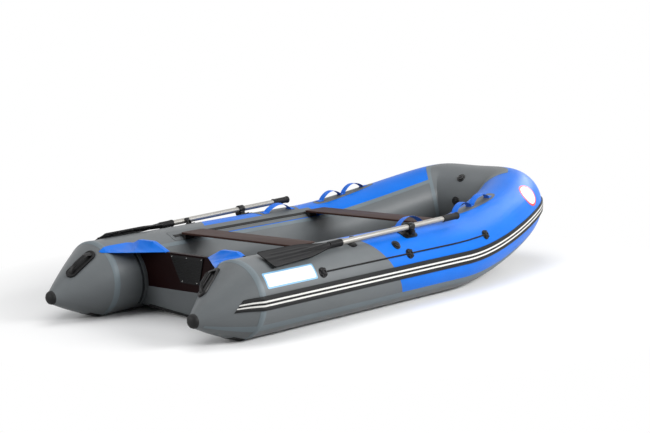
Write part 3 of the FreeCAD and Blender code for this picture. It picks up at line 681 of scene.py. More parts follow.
# Tapes over the seams
def band(line, low, high, before, after):
    """Outline of a band across the tube that follows a line, from one angle to another."""
    angles = steps(low, high, 6.0)
    return [(line(a) - before, a) for a in angles] + [(line(a) + after, a) for a in reversed(angles)]


def crown_tape():
    run = [(d, crown_line(d)) for d in steps(BOW_SEAM, BOW_END, 0.03)]
    return ([(slanted(d, crown), crown - 0.4) for d, crown in run]
            + [(slanted(d, crown), crown + 2.6) for d, crown in reversed(run)])


def holder_line(angle):
    """Where the rubber holder of the transom ends on the tube, which leans like the transom."""
    height = TUBE_RADIUS * (1 + math.sin(math.radians(angle)))
    return TRANSOM_AFT - HOLDER_REACH - height * math.tan(RAKE)


def tapes(side_name, side):
    half = TAPE_WIDTH / 2
    upper = BLUE_HIGH + 7
    inner = [(0.30, BLUE_HIGH), (1.95, BLUE_HIGH), (seam_line(BLUE_HIGH), BLUE_HIGH),
             (seam_line(upper), upper), (0.30, upper)]
    pieces = [patch_mesh(rectangle(-0.016, 0.020, -90, 270), TAPE_THICKNESS, side),
              patch_mesh(band(seam_line, CROWN_AT_SEAM - 1, 236, half, half), TAPE_THICKNESS, side)]
    for outline in (rectangle(-0.27, BOW_END, BLUE_LOW - 12, BLUE_LOW), inner, crown_tape()):
        pieces.append(patch_mesh(outline, THIN_TAPE, side, step=0.02))
    joined(side_name + "_seam_tapes", pieces, (tape_fabric,))
    edge = patch_mesh(band(holder_line, 141, 228, 0.015, 0.0), 0.0016, side)
    joined(side_name + "_holder_edge", [edge], (dark_fabric,))


# Rubbing strake: black rubber with two white stripes, from tail to tail
def strake_profile():
    """Share across the strake and lift, with a material number for the stretch that follows."""
    shoulder, stripe = 0.0060, 0.0062
    edges = (0.0, 0.25, 0.375, 0.495, STRAKE_STRIPES_TOP, 1.0)
    profile = [(0.0, STRAKE_EDGE, 0)]
    for k, (low, top) in enumerate(zip(edges, edges[1:])):
        if k in (1, 3):
            profile += [(low + 0.008, stripe, 1), (top - 0.008, stripe, 0)]
        else:
            profile += [(low + 0.011, shoulder, 0), (low + 0.036, STRAKE_THICKNESS, 0),
                        ((low + top) / 2, STRAKE_THICKNESS + 0.0002, 0),
                        (top - 0.036, STRAKE_THICKNESS, 0), (top - 0.011, shoulder, 0)]
    return profile + [(1.0, STRAKE_EDGE, 0)]


def strake_point(distance, share, lift):
    """A point of the strake. It climbs a little on the tails, where its ends are cut at a slant."""
    near = from_near_tail(distance)
    tail = ramp(near, 0, STRAKE_END)
    low = STRAKE_LOW + (STRAKE_END_LOW - STRAKE_LOW) * tail
    high = STRAKE_HIGH + (STRAKE_END_HIGH - STRAKE_HIGH) * tail
    bow = ramp(near, STRAIGHT, BOW_SEAM - STRAIGHT)
    top = ramp(share, STRAKE_STRIPES_TOP, 1 - STRAKE_STRIPES_TOP)
    narrow = (STRAKE_NARROWER + STRAKE_BOW_NARROWER * bow) * top
    place = moved_to_bow(distance, STRAKE_END_SLANT * share * tail)
    return skin(place, low + (high - low) * share - narrow, lift)


def rubbing_strake():
    profile = strake_profile()
    ends = (STRAKE_END, 2 * BOW_END - STRAKE_END)
    run = [ends[0], *steps(ends[0] + 0.003, ends[1] - 0.003, 0.016), ends[1]]
    points = [[strake_point(d, share, STRAKE_EDGE if d in ends else lift) for share, lift, _ in profile]
              for d in run]
    mesh = mesh_from(drawn_along(profile, points)[0], "striped_strake")
    finished_object("striped_strake", mesh, (strake_rubber, strake_white),
                    ["rubbing_strake"], sharp=50.0)


# Seat tracks on a grey band
TRACK = [(117.0, 0.0010, 1), (117.1, 0.0021, 1), (119.4, 0.0022, 0), (119.5, 0.0044, 0),
         (119.9, 0.0050, 0), (121.2, 0.0051, 0), (121.6, 0.0042, 0), (122.4, 0.0042, 0),
         (122.8, 0.0051, 0), (124.1, 0.0050, 0), (124.5, 0.0044, 0), (124.6, 0.0022, 1),
         (126.9, 0.0021, 1), (127.0, 0.0010, 1)]
TRACK_START = 0.525


def seat_track(side_name, side):
    layer = patch_mesh(rounded_outline(rectangle(0.50, 1.72, 108, 131.5), 0.02), 0.0008, side, 0.0006)
    joined(side_name + "_track_band", [layer], (patch_fabric,))
    bm, rows = drawn_along(TRACK, [[skin(d, a, lift, side) for a, lift, _ in TRACK]
                                   for d in steps(TRACK_START, STRAIGHT, 0.03)])
    bm.faces.new(rows[0])
    bm.faces.new(rows[-1])
    finished_object(side_name + "_track_rail", mesh_from(bm, "track_rail"), (black_rubber, patch_fabric),
                    [side_name + "_seat_track"])


# Seats
SEAT_CORNER = 0.022


def seat(node, name):
    low, high = (Vector(corner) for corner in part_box(node))
    size = high - low
    bm = bmesh.new()
    outline = []
    for sx, sy, start in ((1, 1, 0), (-1, 1, 90), (-1, -1, 180), (1, -1, 270)):
        for k in range(7):
            turn = math.radians(start + 15 * k)
            outline.append((sx * (size.x / 2 - SEAT_CORNER) + SEAT_CORNER * math.cos(turn),
                            sy * (size.y / 2 - SEAT_CORNER) + SEAT_CORNER * math.sin(turn)))
    face = bm.faces.new([bm.verts.new((x, y, 0)) for x, y in outline])
    top = bmesh.ops.extrude_face_region(bm, geom=[face])["geom"]
    bmesh.ops.translate(bm, vec=(0, 0, size.z), verts=[v for v in top if isinstance(v, bmesh.types.BMVert)])
    bmesh.ops.recalc_face_normals(bm, faces=bm.faces)
    rims = [e for e in bm.edges if e.is_boundary or abs(e.verts[0].co.z - e.verts[1].co.z) < 1e-6]
    bmesh.ops.bevel(bm, geom=rims, offset=0.0016, segments=3, profile=0.5, affect="EDGES")
    bmesh.ops.translate(bm, vec=((low.x + high.x) / 2, (low.y + high.y) / 2, low.z), verts=bm.verts)
    finished_object(name, mesh_from(bm, name), (seat_wood,), [node])


# Strap handles. A foot of the webbing is a distance and an angle.
STRAP_WIDTH = 0.042
STRAP_THICKNESS = 0.0022
STRAP_RISE = 0.043
STRAP_SECTION = [(-0.5, 0.0), (-0.47, 0.35), (-0.40, 0.5), (0.40, 0.5), (0.47, 0.35), (0.5, 0.0),
                 (0.47, -0.35), (0.40, -0.5), (-0.40, -0.5), (-0.47, -0.35)]
STRAP_FEET = {
    "single": [(1.352, 100.0), (1.580, 100.0)],
    "twin": [(distance_of(1.885), 94.0), (distance_of(2.078), 91.0), (distance_of(2.274), 84.0)],
}
STRAP_PATCHES = {
    "single": rounded_outline([(1.285, 81), (1.650, 86), (1.625, 112), (1.310, 112)], 0.02),
    "twin": oval_outline(distance_of(2.088), 90.5, 0.530, 0.088, power=0.6, lean=-24.0),
}


def webbing_strip(points, normal, thickness):
    """A flat strap along points, with rounded edges and UV in metres."""
    bm = bmesh.new()
    paint = bm.loops.layers.uv.new("strap")
    rows, run, spots = [], 0.0, {}
    for k, point in enumerate(points):
        ahead = heading(points, k)
        side = ahead.cross(normal).normalized()
        up = side.cross(ahead)
        if k:
            run += (point - points[k - 1]).length
        row = [bm.verts.new(point + side * (w * STRAP_WIDTH) + up * (h * thickness))
               for w, h in STRAP_SECTION]
        for vert, (w, _) in zip(row, STRAP_SECTION):
            spots[vert] = (run, w * STRAP_WIDTH)
        rows.append(row)
    for face, _ in bridge(bm, rows, closed=True):
        for loop in face.loops:
            loop[paint].uv = spots[loop.vert]
    bm.faces.new(rows[0][::-1])
    bm.faces.new(rows[-1])
    return bm


def strap_loop(first, last, side):
    """One loop of webbing, from foot to foot."""
    start, end = (skin(*foot, STRAP_THICKNESS, side) for foot in (first, last))
    normal = skin_normal((first[0] + last[0]) / 2, (first[1] + last[1]) / 2, side)
    points = []
    for t in shares(28):
        along = t + 0.05 * (0.10 * math.sin(2 * math.pi * t))
        points.append(start.lerp(end, along) + normal * STRAP_RISE * math.sin(math.pi * t) ** 0.72)
    return webbing_strip(points, normal, STRAP_THICKNESS)


def strap_foot(distance, angle, side):
    points = [skin(d, angle, 0.0030, side) for d in steps(distance - 0.022, distance + 0.022, 0.008)]
    return webbing_strip(points, skin_normal(distance, angle, side), 0.0024)


def straps(side_name, side):
    for kind, outline in STRAP_PATCHES.items():
        joined("%s_%s_strap_patch" % (side_name, kind), [patch_mesh(outline, TAPE_THICKNESS, side, 0.0007)],
               (patch_fabric,))
    for kind, feet in STRAP_FEET.items():
        pieces = [strap_loop((first[0] + 0.012, first[1]), (last[0] - 0.012, last[1]), side)
                  for first, last in zip(feet, feet[1:])]
        pieces += [strap_foot(distance, angle, side) for distance, angle in feet]
        joined("%s_%s_handle" % (side_name, kind), pieces, (blue_webbing,),
               ["%s_%s_strap_handle" % (side_name, kind)])


# Grab line
LINE_ANGLE = 26.5
LINE_LIFT = 0.008
LINE_BEND_RADIUS = 3.0
LINE_PITCH = 0.030
STRAND_OFFSET = 0.0022
STRAND_RADIUS = 0.0027
ROSETTE_X = (0.473, 1.193, 1.895)
ROSETTE = [(0.0295, -0.0020), (0.0295, 0.0016), (0.0280, 0.0030), (0.0230, 0.0034), (0.0205, 0.0050),
           (0.0190, 0.0090), (0.0172, 0.0128), (0.0140, 0.0158), (0.0090, 0.0170), (0.0070, 0.0160),
           (0.0060, 0.0120), (0.0, 0.0115)]


def line_path(side):
    """Straight to where the tube bends in, a wide curve there, and straight on to the last rosette."""
    first, corner, last = (skin(distance_of(x), LINE_ANGLE, LINE_LIFT, side)
                           for x in (ROSETTE_X[0], STRAIGHT, ROSETTE_X[-1]))
    into, out = (corner - first).normalized(), (last - corner).normalized()
    reach = LINE_BEND_RADIUS * math.tan(into.angle(out) / 2)
    start, end = corner - into * reach, corner + out * reach
    points = [first.lerp(start, share) for share in steps(0, 1, 0.004)]
    points += [start.lerp(corner, t).lerp(corner.lerp(end, t), t) for t in steps(0, 1, 0.04)[1:]]
    return points + [end.lerp(last, share) for share in steps(0, 1, 0.05)[1:]]


def grab_line(side_name, side):
    """Three strands twisted round the line's path."""
    path = line_path(side)
    strands = []
    for number in range(3):
        points, run = [], 0.0
        for before, after in zip(path, path[1:]):
            length = (after - before).length
            across = (after - before).cross(Vector((0, 0, 1))).normalized()
            above = across.cross(after - before).normalized()
            for share in steps(0, 1, 0.0035 / length)[:-1]:
                turn = 2 * math.pi * ((run + share * length) / LINE_PITCH + number / 3)
                twist = across * math.cos(turn) + above * math.sin(turn)
                points.append(before.lerp(after, share) + twist * STRAND_OFFSET)
            run += length
        strands.append(tube_along(points, [STRAND_RADIUS] * len(points), 6))
    joined(side_name + "_rope", strands, (line_fibre,), [side_name + "_grab_line"], sharp=70)


def rosettes(side_name, side):
    pieces = []
    for x in ROSETTE_X:
        place = skin_place(distance_of(x), LINE_ANGLE, side)
        pieces.append(placed(lathe(ROSETTE), place))
        pieces += boxes_around(place, 4, 45, 0.016, 0.013, 0.010, 0.003, (0.019, 0, 0.006))
    joined(side_name + "_rosettes", pieces, (black_rubber,), [side_name + "_line_rosettes"])


# Air valves
VALVE = [(0.0290, -0.0020), (0.0290, 0.0025), (0.0278, 0.0042), (0.0250, 0.0050), (0.0238, 0.0046),
         (0.0225, 0.0032), (0.0212, 0.0032), (0.0204, 0.0050), (0.0200, 0.0100), (0.0190, 0.0118),
         (0.0150, 0.0122), (0.0138, 0.0100), (0.0, 0.0098)]


def valve(name, node, place):
    pieces = [placed(lathe(VALVE, 48), place)]
    pieces += boxes_around(place, 1, 35, 0.026, 0.007, 0.005, 0.0016, (0, 0, 0.0112))
    pieces += boxes_around(place, 12, 0, 0.0025, 0.004, 0.006, 0.0008, (0.0202, 0, 0.0078), 2)
    joined(name, pieces, (valve_plastic,), [node])


def valves():
    for side_name, side in (("port", 1), ("starboard", -1)):
        valve(side_name + "_valve", side_name + "_side_valve", skin_place(1.123, 45.0, side))
    for name, angle in (("upper", 136.0), ("lower", 179.0)):
        valve(name + "_valve_on_bow", name + "_bow_valve", skin_place(BOW_END, angle))


# Oars. An x along the oar is counted forward from the ring seam.
OAR_ANGLE = 64.0
OAR_SLOPE = math.radians(1.5)
OAR_HEIGHT = 0.044
ROWLOCK_X = 1.290
CLIP_X = 0.818
SHAFT_AFT = 0.700
SHAFT_FORE = 1.600
SHAFT_RADIUS = 0.016
BLADE_AFT = 0.135
BLADE_NECK = 0.410
BLADE_ROOT = 0.635
BLADE_AFT_HALF = 0.0725
BLADE_NECK_HALF = 0.0620
BLADE_ROOT_HALF = 0.0195
BLADE_CORNER = 0.011
SLEEVE_X = 0.616
GRIP_X = 1.580
SLEEVE = [(0.0150, 0.0), (0.0195, 0.0), (0.0198, 0.050), (0.0198, 0.083), (0.0212, 0.086),
          (0.0212, 0.094), (0.0205, 0.097), (0.0162, 0.097)]


def oar_matrix(side):
    """Local x runs along the shaft towards the grip, z away from the tube, origin at the rowlock."""
    raised = Matrix.Translation((0, 0, OAR_HEIGHT)) @ Matrix.Rotation(-OAR_SLOPE, 4, "Y")
    return skin_place(ROWLOCK_X, OAR_ANGLE, side) @ raised


def along_x(profile, start, segments=40):
    """A turned shape about x, from (radius, x) points counted from a start."""
    bm = lathe(profile, segments)
    bmesh.ops.rotate(bm, cent=(0, 0, 0), matrix=Matrix.Rotation(math.radians(90), 3, "Y"), verts=bm.verts)
    bmesh.ops.translate(bm, vec=(start, 0, 0), verts=bm.verts)
    return bm


def blade_half_width(x):
    """Half width of the blade: a long trapezoid, then a narrowing neck."""
    if x > BLADE_NECK:
        share = ramp(x, BLADE_NECK, BLADE_ROOT - BLADE_NECK)
        ease = 0.45 * share + 0.55 * share * share * (3 - 2 * share)
        return BLADE_NECK_HALF + (BLADE_ROOT_HALF - BLADE_NECK_HALF) * ease
    half = BLADE_AFT_HALF - 0.0105 * (x - BLADE_AFT) / (BLADE_NECK - BLADE_AFT)
    short = max(BLADE_AFT + BLADE_CORNER - x, 0)
    return half - BLADE_CORNER + math.sqrt(max(BLADE_CORNER ** 2 - short ** 2, 0))


def blade_height(x, across):
    """Lift of the blade's outer face over its middle plane: a spine, two ribs and a rim."""
    half = blade_half_width(x)
    y = across * half
    spine = 0.0028 + 0.0137 * ramp(x, 0.36, 0.27) ** 1.4
    height = 0.0020 + spine * math.exp(-(y / (0.010 + 0.005 * ramp(x, 0.45, 0.1))) ** 2)
    fade = ramp(x, 0.185, 0.02) * ramp(0.50 - x, 0, 0.05)
    ribs = [(-0.030, 0.0020, 0.0045), (0.030, 0.0020, 0.0045)]
    grooves = [(offset, -0.0005, 0.004) for offset in (-0.0155, 0.0155, -0.045, 0.045)]
    for offset, lift, width in ribs + grooves:
        height += lift * fade * math.exp(-((y - offset * half / BLADE_AFT_HALF) / width) ** 2)
    return height + 0.0016 * math.exp(-((1 - abs(across)) * half / 0.004) ** 2)


def blade_mesh():
    bm = bmesh.new()
    xs = [BLADE_AFT + back for back in (0, 0.0005, 0.0015, 0.003, 0.005, 0.008, 0.011)]
    xs += steps(0.155, 0.660, 0.012)
    ys = [k / 24 for k in range(-24, 25)]
    top, bottom = ([[bm.verts.new((x - ROWLOCK_X, y * blade_half_width(x), sign * blade_height(x, y)))
                     for y in ys] for x in xs] for sign in (1, -1))
    bridge(bm, top)
    bridge(bm, bottom)
    for k in range(len(xs) - 1):
        for n in (0, -1):
            bm.faces.new((top[k][n], top[k + 1][n], bottom[k + 1][n], bottom[k][n]))
    for row in (0, -1):
        bridge(bm, [top[row], bottom[row]])
    return bm


def grip_profile():
    grip = [(0.0162, 0.0), (0.0205, 0.001), (0.0212, 0.005), (0.0205, 0.010), (0.0190, 0.012)]
    for ring in range(9):
        base = 0.016 + 0.0115 * ring
        grip += [(0.0190, base), (0.0196, base + 0.002), (0.0196, base + 0.0065), (0.0190, base + 0.0085)]
    return grip + [(0.0192, 0.121), (0.0212, 0.124), (0.0220, 0.130), (0.0214, 0.1345), (0.0190, 0.137),
                   (0, 0.137)]


def oar(side_name, side):
    place = oar_matrix(side)
    body = side_name + "_oar"
    blade = [placed(bm, place) for bm in (blade_mesh(), along_x(SLEEVE, SLEEVE_X - ROWLOCK_X))]
    joined(side_name + "_paddle", blade, (blade_plastic,), [side_name + "_oar_blade"],
           body, sharp=40)
    shaft = [(0.0145, 0), (SHAFT_RADIUS, 0.0), (SHAFT_RADIUS, 0.16), (SHAFT_RADIUS, SHAFT_FORE - SHAFT_AFT)]
    joined(side_name + "_shaft", [placed(along_x(shaft, SHAFT_AFT - ROWLOCK_X, 48), place)], (oar_metal,),
           [side_name + "_oar_shaft"], body)
    joined(side_name + "_handgrip", [placed(along_x(grip_profile(), GRIP_X - ROWLOCK_X), place)],
           (black_rubber,), [side_name + "_oar_grip"], body)


CLAMP = [(0.0166, -0.022), (0.0222, -0.022), (0.0236, -0.019), (0.0236, 0.019), (0.0222, 0.022),
         (0.0166, 0.022)]
KNOB = [(0.0, 0.018), (0.008, 0.018), (0.0135, 0.0165), (0.0150, 0.013), (0.0150, 0.003), (0.0140, 0.0),
        (0.006, 0.0), (0.006, -0.006), (0, -0.006)]
BOSS = [(0.030, 0.003), (0.0275, 0.007), (0.0225, 0.010), (0.0205, 0.0142), (0.0190, 0.0150),
        (0.0060, 0.0150), (0.0060, 0.0240), (0, 0.0245)]


def rowlock(side_name, side):
    """The clamp that turns with the oar, and the base that it turns on."""
    upright = skin_place(ROWLOCK_X, OAR_ANGLE, side)
    knob_place = upright @ Matrix.Translation((0, 0.0235, 0.027)) @ turned(-90, "X")
    pieces = [placed(along_x(CLAMP, 0), oar_matrix(side)),
              placed(rounded_box(0.036, 0.030, 0.022, 0.004, (0, 0, 0.0275)), upright),
              placed(rounded_box(0.030, 0.012, 0.030, 0.004, (0, 0.0225, 0.034)), upright),
              placed(lathe(KNOB, 24), knob_place)]
    pieces += boxes_around(knob_place, 10, 0, 0.004, 0.005, 0.013, 0.0015, (0.0145, 0, 0.0085), 2)
    joined(side_name + "_yoke", pieces, (black_plastic,), [side_name + "_oar_yoke"],
           side_name + "_oar")
    foot = rounded_outline(rectangle(1.231, 1.349, 52.5, 75.5), 0.026)
    pieces = [patch_mesh(foot, 0.0045, side), placed(lathe(BOSS), upright)]
    pieces += boxes_around(upright, 4, 45, 0.026, 0.005, 0.007, 0.002, (0.030, 0, 0.0060), 2)
    joined(side_name + "_rowlock_foot", pieces, (black_plastic,),
           [side_name + "_rowlock_base"])


def clip(side_name, side):
    place = skin_place(CLIP_X, OAR_ANGLE, side)
    height = OAR_HEIGHT + (CLIP_X - ROWLOCK_X) * math.tan(OAR_SLOPE)
    inner = -SHAFT_RADIUS - 0.001
    foot = oval_outline(CLIP_X, OAR_ANGLE + 0.018 / ONE_DEGREE, 0.058, 0.086, power=0.7)
    arm = height + 0.0088
    lip = height - SHAFT_RADIUS - 0.0055
    boxes = [(0.034, 0.007, arm, 0.0026, (0, inner - 0.0035, arm / 2)),
             (0.034, 0.009, lip, 0.002, (0, SHAFT_RADIUS + 0.0045, lip / 2))]
    boxes += [(0.004, 0.012, arm * 0.6, 0.0015, (x, inner - 0.011, arm * 0.3), 2) for x in (-0.012, 0.012)]
    joined(side_name + "_shaft_clip",
           [patch_mesh(foot, 0.0038, side)] + [placed(rounded_box(*box), place) for box in boxes],
           (black_plastic,), [side_name + "_oar_clip"])


# Moulded carry handle on each tail
HANDLE_ANGLE = 113.0
HANDLE_X = -0.128
HANDLE_HALF = 0.103
BAR_REACH = 0.078
BAR_FOOT = 0.0035
BAR_RISE = 0.0290


def cone_handle_place(side):
    here, ray, forward = tube_point(HANDLE_X, HANDLE_ANGLE)
    aft, fore = (tube_point(HANDLE_X + shift, HANDLE_ANGLE)[0] for shift in (-HANDLE_HALF, HANDLE_HALF))
    along = (fore - aft).normalized()
    normal = along.cross(ray.cross(forward))
    return place_from(along, normal.cross(along), normal, here + normal * 0.0003, side)


def oval_ring(half_length, half_width, hole_half_length, hole_half_width, height):
    """An oval frame plate with a rounded rim, flat below."""
    bm = bmesh.new()
    segments = circle(48)

    def ring(a, b, z):
        return [bm.verts.new((math.copysign(a - b, c) * (abs(c) > 1e-9) + b * c, b * s, z))
                for c, s in segments]

    outer = [ring(half_length - inset, half_width - inset, z)
             for inset, z in ((0, -0.002), (0, height * 0.55), (0.002, height * 0.9), (0.005, height))]
    inner = [ring(hole_half_length + out, hole_half_width + out, z)
             for out, z in ((0.004, height), (0.001, height * 0.8), (0, height * 0.25), (0, -0.002))]
    bridge(bm, outer + inner + outer[:1], closed=True)
    return bm


def cone_handle(side_name, side):
    points, radii = [], []
    for t in shares(26):
        rise = BAR_RISE * (1 - abs(2 * t - 1) ** 3.6)
        points.append(Vector((-BAR_REACH + 2 * BAR_REACH * t, 0, BAR_FOOT + rise)))
        radii.append(0.0068 + 0.0022 * math.exp(-((abs(2 * t - 1) - 1) / 0.18) ** 2))
    bar = tube_along(points, radii, 14)
    bmesh.ops.scale(bar, vec=(1, 1.85, 1), verts=bar.verts)
    pieces = [oval_ring(HANDLE_HALF, 0.033, 0.081, 0.018, 0.0100),
              rounded_box(0.176, 0.042, 0.003, 0.001, (0, 0, 0.0015)), bar]
    for k in range(9):
        centre = (-0.036 + 0.009 * k, 0, BAR_FOOT + BAR_RISE + 0.0062)
        pieces.append(rounded_box(0.003, 0.022, 0.0026, 0.001, centre, 2))
    place = cone_handle_place(side)
    joined(side_name + "_tail_handle", [placed(piece, place) for piece in pieces], (black_plastic,),
           [side_name + "_cone_handle"])


# Blue fabric on the transom's shoulders, with webs that run aft to the tails
SHOULDER = [(0.165, 0.368), (0.270, 0.418), (0.384, 0.418), (0.422, 0.398)]
SHOULDER_WRAP = [(-0.0018, -0.026), (-0.0019, -0.004), (-0.0012, 0.0002), (0.0030, 0.0014),
                 (0.0135, 0.0017), (0.0240, 0.0014), (0.0282, 0.0002), (0.0289, -0.004), (0.0288, -0.026)]
WEB_GAP = 0.0024


def on_board(offset, y, z):
    """A point by its distance forward of the transom's aft face."""
    return Vector((TRANSOM_AFT + offset / math.cos(RAKE) - z * math.tan(RAKE) + RING_X, y, z))


def along_line(points, count):
    """Evenly spaced points along a chain, with its corners a little rounded."""
    points = [Vector(point) for point in points]
    lengths = [0.0]
    for a, b in zip(points, points[1:]):
        lengths.append(lengths[-1] + (b - a).length)
    spaced = []
    for k in range(count + 1):
        goal = lengths[-1] * k / count
        n = max(i for i in range(len(points) - 1) if lengths[i] <= goal)
        spaced.append(points[n].lerp(points[n + 1], (goal - lengths[n]) / (lengths[n + 1] - lengths[n])))
    for _ in range(2):
        middle = [(a + b * 2 + c) / 4 for a, b, c in zip(spaced, spaced[1:], spaced[2:])]
        spaced = [spaced[0]] + middle + [spaced[-1]]
    return spaced


def sheet(rows, thickness):
    bm = bmesh.new()
    paint = bm.loops.layers.uv.new("skin")
    for face, _ in bridge(bm, [[bm.verts.new(point) for point in row] for row in rows]):
        for loop in face.loops:
            loop[paint].uv = (loop.vert.co.x, loop.vert.co.y)
    bmesh.ops.recalc_face_normals(bm, faces=bm.faces)
    bmesh.ops.solidify(bm, geom=bm.faces[:], thickness=thickness)
    return bm


def clear_of_tube(point, gap):
    """Moves a point out to a gap off the port tube's skin if it lies below that."""
    centre, _, _, radius = axis_frame(point.x - RING_X)
    away = Vector((0, point.y - centre.y, point.z - centre.z))
    short = radius + gap - away.length
    return point + away.normalized() * short if short > 0 else point


def web_row(start, edge, t):
    """A row of the web from its root to its free edge, with shallow folds that die out at the rims."""
    row = []
    for u in shares(14):
        place = start.lerp(edge, u)
        inside = math.sin(math.pi * u) * math.sin(math.pi * t) ** 1.2
        fold = math.sin(26.0 * t - 7.0 * u) + 0.6 * math.sin(41.0 * t + 5.0 * u + 1.3)
        crease = math.exp(-((t - 0.47 - 0.10 * u) / 0.020) ** 2)
        place.z += inside * (-0.0050 + 0.0011 * fold + 0.0038 * crease)
        row.append(clear_of_tube(place, WEB_GAP))
    return row


def gusset(side_name, side):
    """A folded sheet over the shoulder, and a tight web from its top edge to the top of the tail."""
    cap_rows = []
    for k, (y, z) in enumerate(along_line(SHOULDER, 40)):
        depth = min(0.12 + k / 9, 1)
        cap_rows.append([on_board(offset, y, z + (rise if rise > -0.01 else rise * depth))
                         for offset, rise in SHOULDER_WRAP])
    root = [skin(-0.030, 119.3, 0.0026), skin(-0.012, 118.8, 0.0026), skin(0.004, 118.3, 0.0024)]
    root += [skin(d, 117.0, 0.0016) for d in steps(0.030, 0.186, 0.026)]
    root += [on_board(-0.0015, y, z + 0.0012) for y, z in reversed(SHOULDER)]
    tail, end = skin(-0.026, 124.0, 0.0026), on_board(-0.0015, *SHOULDER[0])
    web_rows = [web_row(start, tail.lerp(end, t ** 1.08), t)
                for start, t in zip(along_line(root, 60), shares(60))]
    hem = [[row[-1], row[-1].lerp(row[-2], 0.8) + Vector((0, 0, 0.0009))] for row in web_rows]
    flip = Matrix.Diagonal((1, side, 1, 1))
    sheets = ((cap_rows, 0.0012), (web_rows, 0.0014), (hem, 0.0022))
    joined(side_name + "_web", [placed(sheet(rows, thickness), flip) for rows, thickness in sheets],
           (blue_fabric,), [side_name + "_transom_gusset"], sharp=60)


# The transom, its fittings, the bottom and the floor stay as the CAD pieces, with finishes of their own
SCREW_PLACES = ((0.116, 0.350), (0.0, 0.350), (-0.116, 0.350), (0.058, 0.214), (-0.058, 0.214))
SCREW_HEAD = [(0, 0.0012), (0.0018, 0.0011), (0.0028, 0.0007), (0.0031, 0.0), (0.002, -0.0005)]
PAD_THICKNESS = 0.0083
CAD_FINISHES = [
    (transom_wood, ["transom"]),
    (black_plastic, ["outer_motor_pad", "inner_motor_pad"]),
    (grey_fabric, ["transom_skirt", "hull_bottom"]),
    (black_rubber, ["transom_bottom_strip", "keel_strip", "rear_seat_brackets", "front_seat_brackets",
                    "port_cone_wear_patch", "starboard_cone_wear_patch"]),
    (floor_wood, ["floor_panel_1", "floor_panel_2", "floor_panel_3", "bow_floor_panel"]),
    (patch_fabric, ["port_transom_flange", "starboard_transom_flange"]),
    (floor_metal, ["port_floor_stringer", "starboard_floor_stringer"]),
]


def transom_screws():
    aft = Vector((-math.cos(RAKE), 0, -math.sin(RAKE)))
    turn = Vector((0, 0, 1)).rotation_difference(aft).to_matrix().to_4x4()
    heads = [placed(lathe(SCREW_HEAD, 16), Matrix.Translation(on_board(-PAD_THICKNESS, y, z)) @ turn)
             for y, z in SCREW_PLACES]
    joined("motor_pad_screws", heads, (screw_metal,))


def finish_cad_nodes():
    for material, nodes in CAD_FINISHES:
        for node in nodes:
            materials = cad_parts[node].data.materials
            materials.clear()
            materials.append(material)


# Blank places for the labels
DISC_FRACTION = 0.47
DISC_ANGLE = 37.0
LABEL_THICKNESS = 0.0004
LABEL_LIFT = 0.0003


def label(name, outer, inner, edge_material):
    """A blank film on a larger one of another colour, on the starboard side."""
    joined(name, [patch_mesh(outer, LABEL_THICKNESS, -1),
                  patch_mesh(inner, LABEL_THICKNESS, -1, LABEL_LIFT, number=1)],
           (edge_material, label_film))


def labels():
    label("starboard_label", rounded_outline(rectangle(0.045, 0.425, 19.5, 44.0), 0.012),
          rounded_outline(rectangle(0.055, 0.415, 22.0, 41.5), 0.009), label_edge)
    place = bow_distance(DISC_FRACTION)
    outer, inner = (oval_outline(place, DISC_ANGLE, width, width) for width in (0.152, 0.128))
    label("bow_disc", outer, inner, disc_edge)


# Stage, light and camera
FLOOR_HALF = 30
FLOOR_DROP = 0.0005
FLOOR_SEEN = 0.93
FLOOR_BOUNCE = 0.62
FADE_START = 1.55
FADE_END = 2.4
WORLD_COLOUR = (0.93, 0.96, 1.0, 1)
WORLD_STRENGTH = 0.17


def grey(level):
    return (level, level, level, 1)


def blend(add, share, first, second):
    return add("MixShader", share, first, second).outputs["Shader"]


def seen_directly(add):
    """1 for rays from the camera or off gloss or through glass, which see the white background."""
    ray = add("LightPath").outputs
    first = add("Math", ray["Is Camera Ray"], ray["Is Glossy Ray"], operation="ADD")
    seen = add("Math", first.outputs["Value"], ray["Is Transmission Ray"], operation="ADD",
               use_clamp=True)
    return seen.outputs["Value"]


def stage():
    """A floor that keeps the boat's shadow and turns to plain white farther out."""
    bm = bmesh.new()
    bmesh.ops.create_grid(bm, x_segments=1, y_segments=1, size=FLOOR_HALF)
    mesh = bpy.data.meshes.new("studio_floor")
    bm.to_mesh(mesh)
    bm.free()
    floor = bpy.data.objects.new("studio_floor", mesh)
    floor.location.z = -FLOOR_DROP
    bpy.context.collection.objects.link(floor)
    material = bpy.data.materials.new("studio_white")
    add = node_maker(material)
    paper, bounce = (add("BsdfDiffuse", Color=grey(level)).outputs["BSDF"]
                     for level in (FLOOR_SEEN, FLOOR_BOUNCE))
    white = add("Emission", Color=grey(1), Strength=1.0).outputs["Emission"]
    reach = add("VectorMath", add("NewGeometry").outputs["Position"],
                operation="LENGTH").outputs["Value"]
    far = add("MapRange", Value=reach, From_Min=FADE_START, From_Max=FADE_END).outputs["Result"]
    add("OutputMaterial",
        Surface=blend(add, seen_directly(add), bounce, blend(add, far, paper, white)))
    mesh.materials.append(material)


def world_light():
    world = bpy.data.worlds.new("studio")
    bpy.context.scene.world = world
    add = node_maker(world)
    dim, white = (add("Background", Color=colour, Strength=strength).outputs["Background"]
                  for colour, strength in ((WORLD_COLOUR, WORLD_STRENGTH), (grey(1), 1.0)))
    add("OutputWorld", Surface=blend(add, seen_directly(add), dim, white))


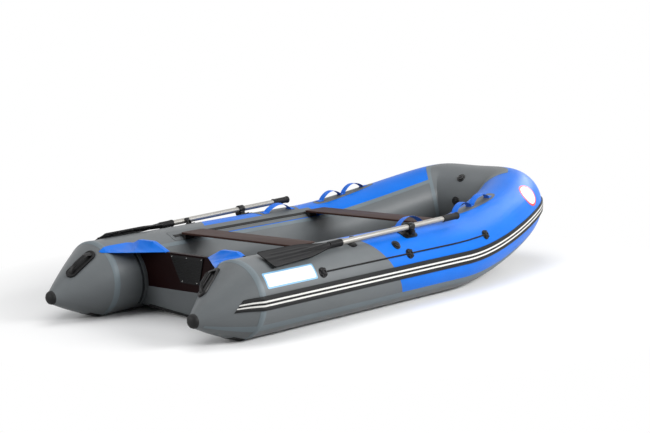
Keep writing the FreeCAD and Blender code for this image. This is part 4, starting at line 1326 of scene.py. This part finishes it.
def area_light(name, place, target, width, height, power):
    light = bpy.data.lights.new(name, "AREA")
    light.energy = power
    light.shape = "RECTANGLE"
    light.size = width
    light.size_y = height
    item = bpy.data.objects.new(name, light)
    item.location = place
    direction = Vector(target) - Vector(place)
    item.rotation_euler = direction.to_track_quat("-Z", "Y").to_euler()
    bpy.context.collection.objects.link(item)


def lights():
    area_light("side", (0.9, -5.2, 2.7), (0.1, -0.6, 0.3), 5.0, 1.6, 385)
    area_light("back", (6.2, 0.2, 2.8), (0.6, -0.3, 0.4), 2.4, 1.2, 80)
    area_light("tail", (-4.8, 1.2, 1.8), (-0.8, 0.2, 0.2), 2.4, 1.6, 80)
    area_light("top", (-0.2, 0.2, 4.4), (0.0, 0.0, 0.0), 5.0, 3.6, 105)


def camera():
    data = bpy.data.cameras.new("photo_camera")
    data.sensor_width = SENSOR_WIDTH
    data.sensor_fit = "HORIZONTAL"
    data.lens = CAMERA_FOCAL_PIXELS / PHOTO_WIDTH * SENSOR_WIDTH
    data.clip_end = 100
    item = bpy.data.objects.new("photo_camera", data)
    forward = Vector((math.cos(CAMERA_PITCH) * math.cos(CAMERA_YAW),
                      math.cos(CAMERA_PITCH) * math.sin(CAMERA_YAW), math.sin(CAMERA_PITCH)))
    level = Vector((math.sin(CAMERA_YAW), -math.cos(CAMERA_YAW), 0))
    above = level.cross(forward)
    right = level * math.cos(CAMERA_ROLL) + above * math.sin(CAMERA_ROLL)
    up = above * math.cos(CAMERA_ROLL) - level * math.sin(CAMERA_ROLL)
    item.matrix_world = place_from(right, up, -forward, CAMERA_PLACE)
    bpy.context.collection.objects.link(item)
    bpy.context.scene.camera = item


camera()
world_light()
lights()
stage()
bow_air_tube()
rubbing_strake()
seat("rear_seat", "rear_plank")
seat("front_seat", "front_plank")
valves()
transom_screws()
labels()
for side_name, side in (("port", 1), ("starboard", -1)):
    for build in (air_tube, tail_cone, tail_cap, tapes, seat_track, straps, grab_line, rosettes, oar,
                  rowlock, clip, cone_handle, gusset):
        build(side_name, side)
finish_cad_nodes()

bpy.context.scene.view_settings.view_transform = "Standard"
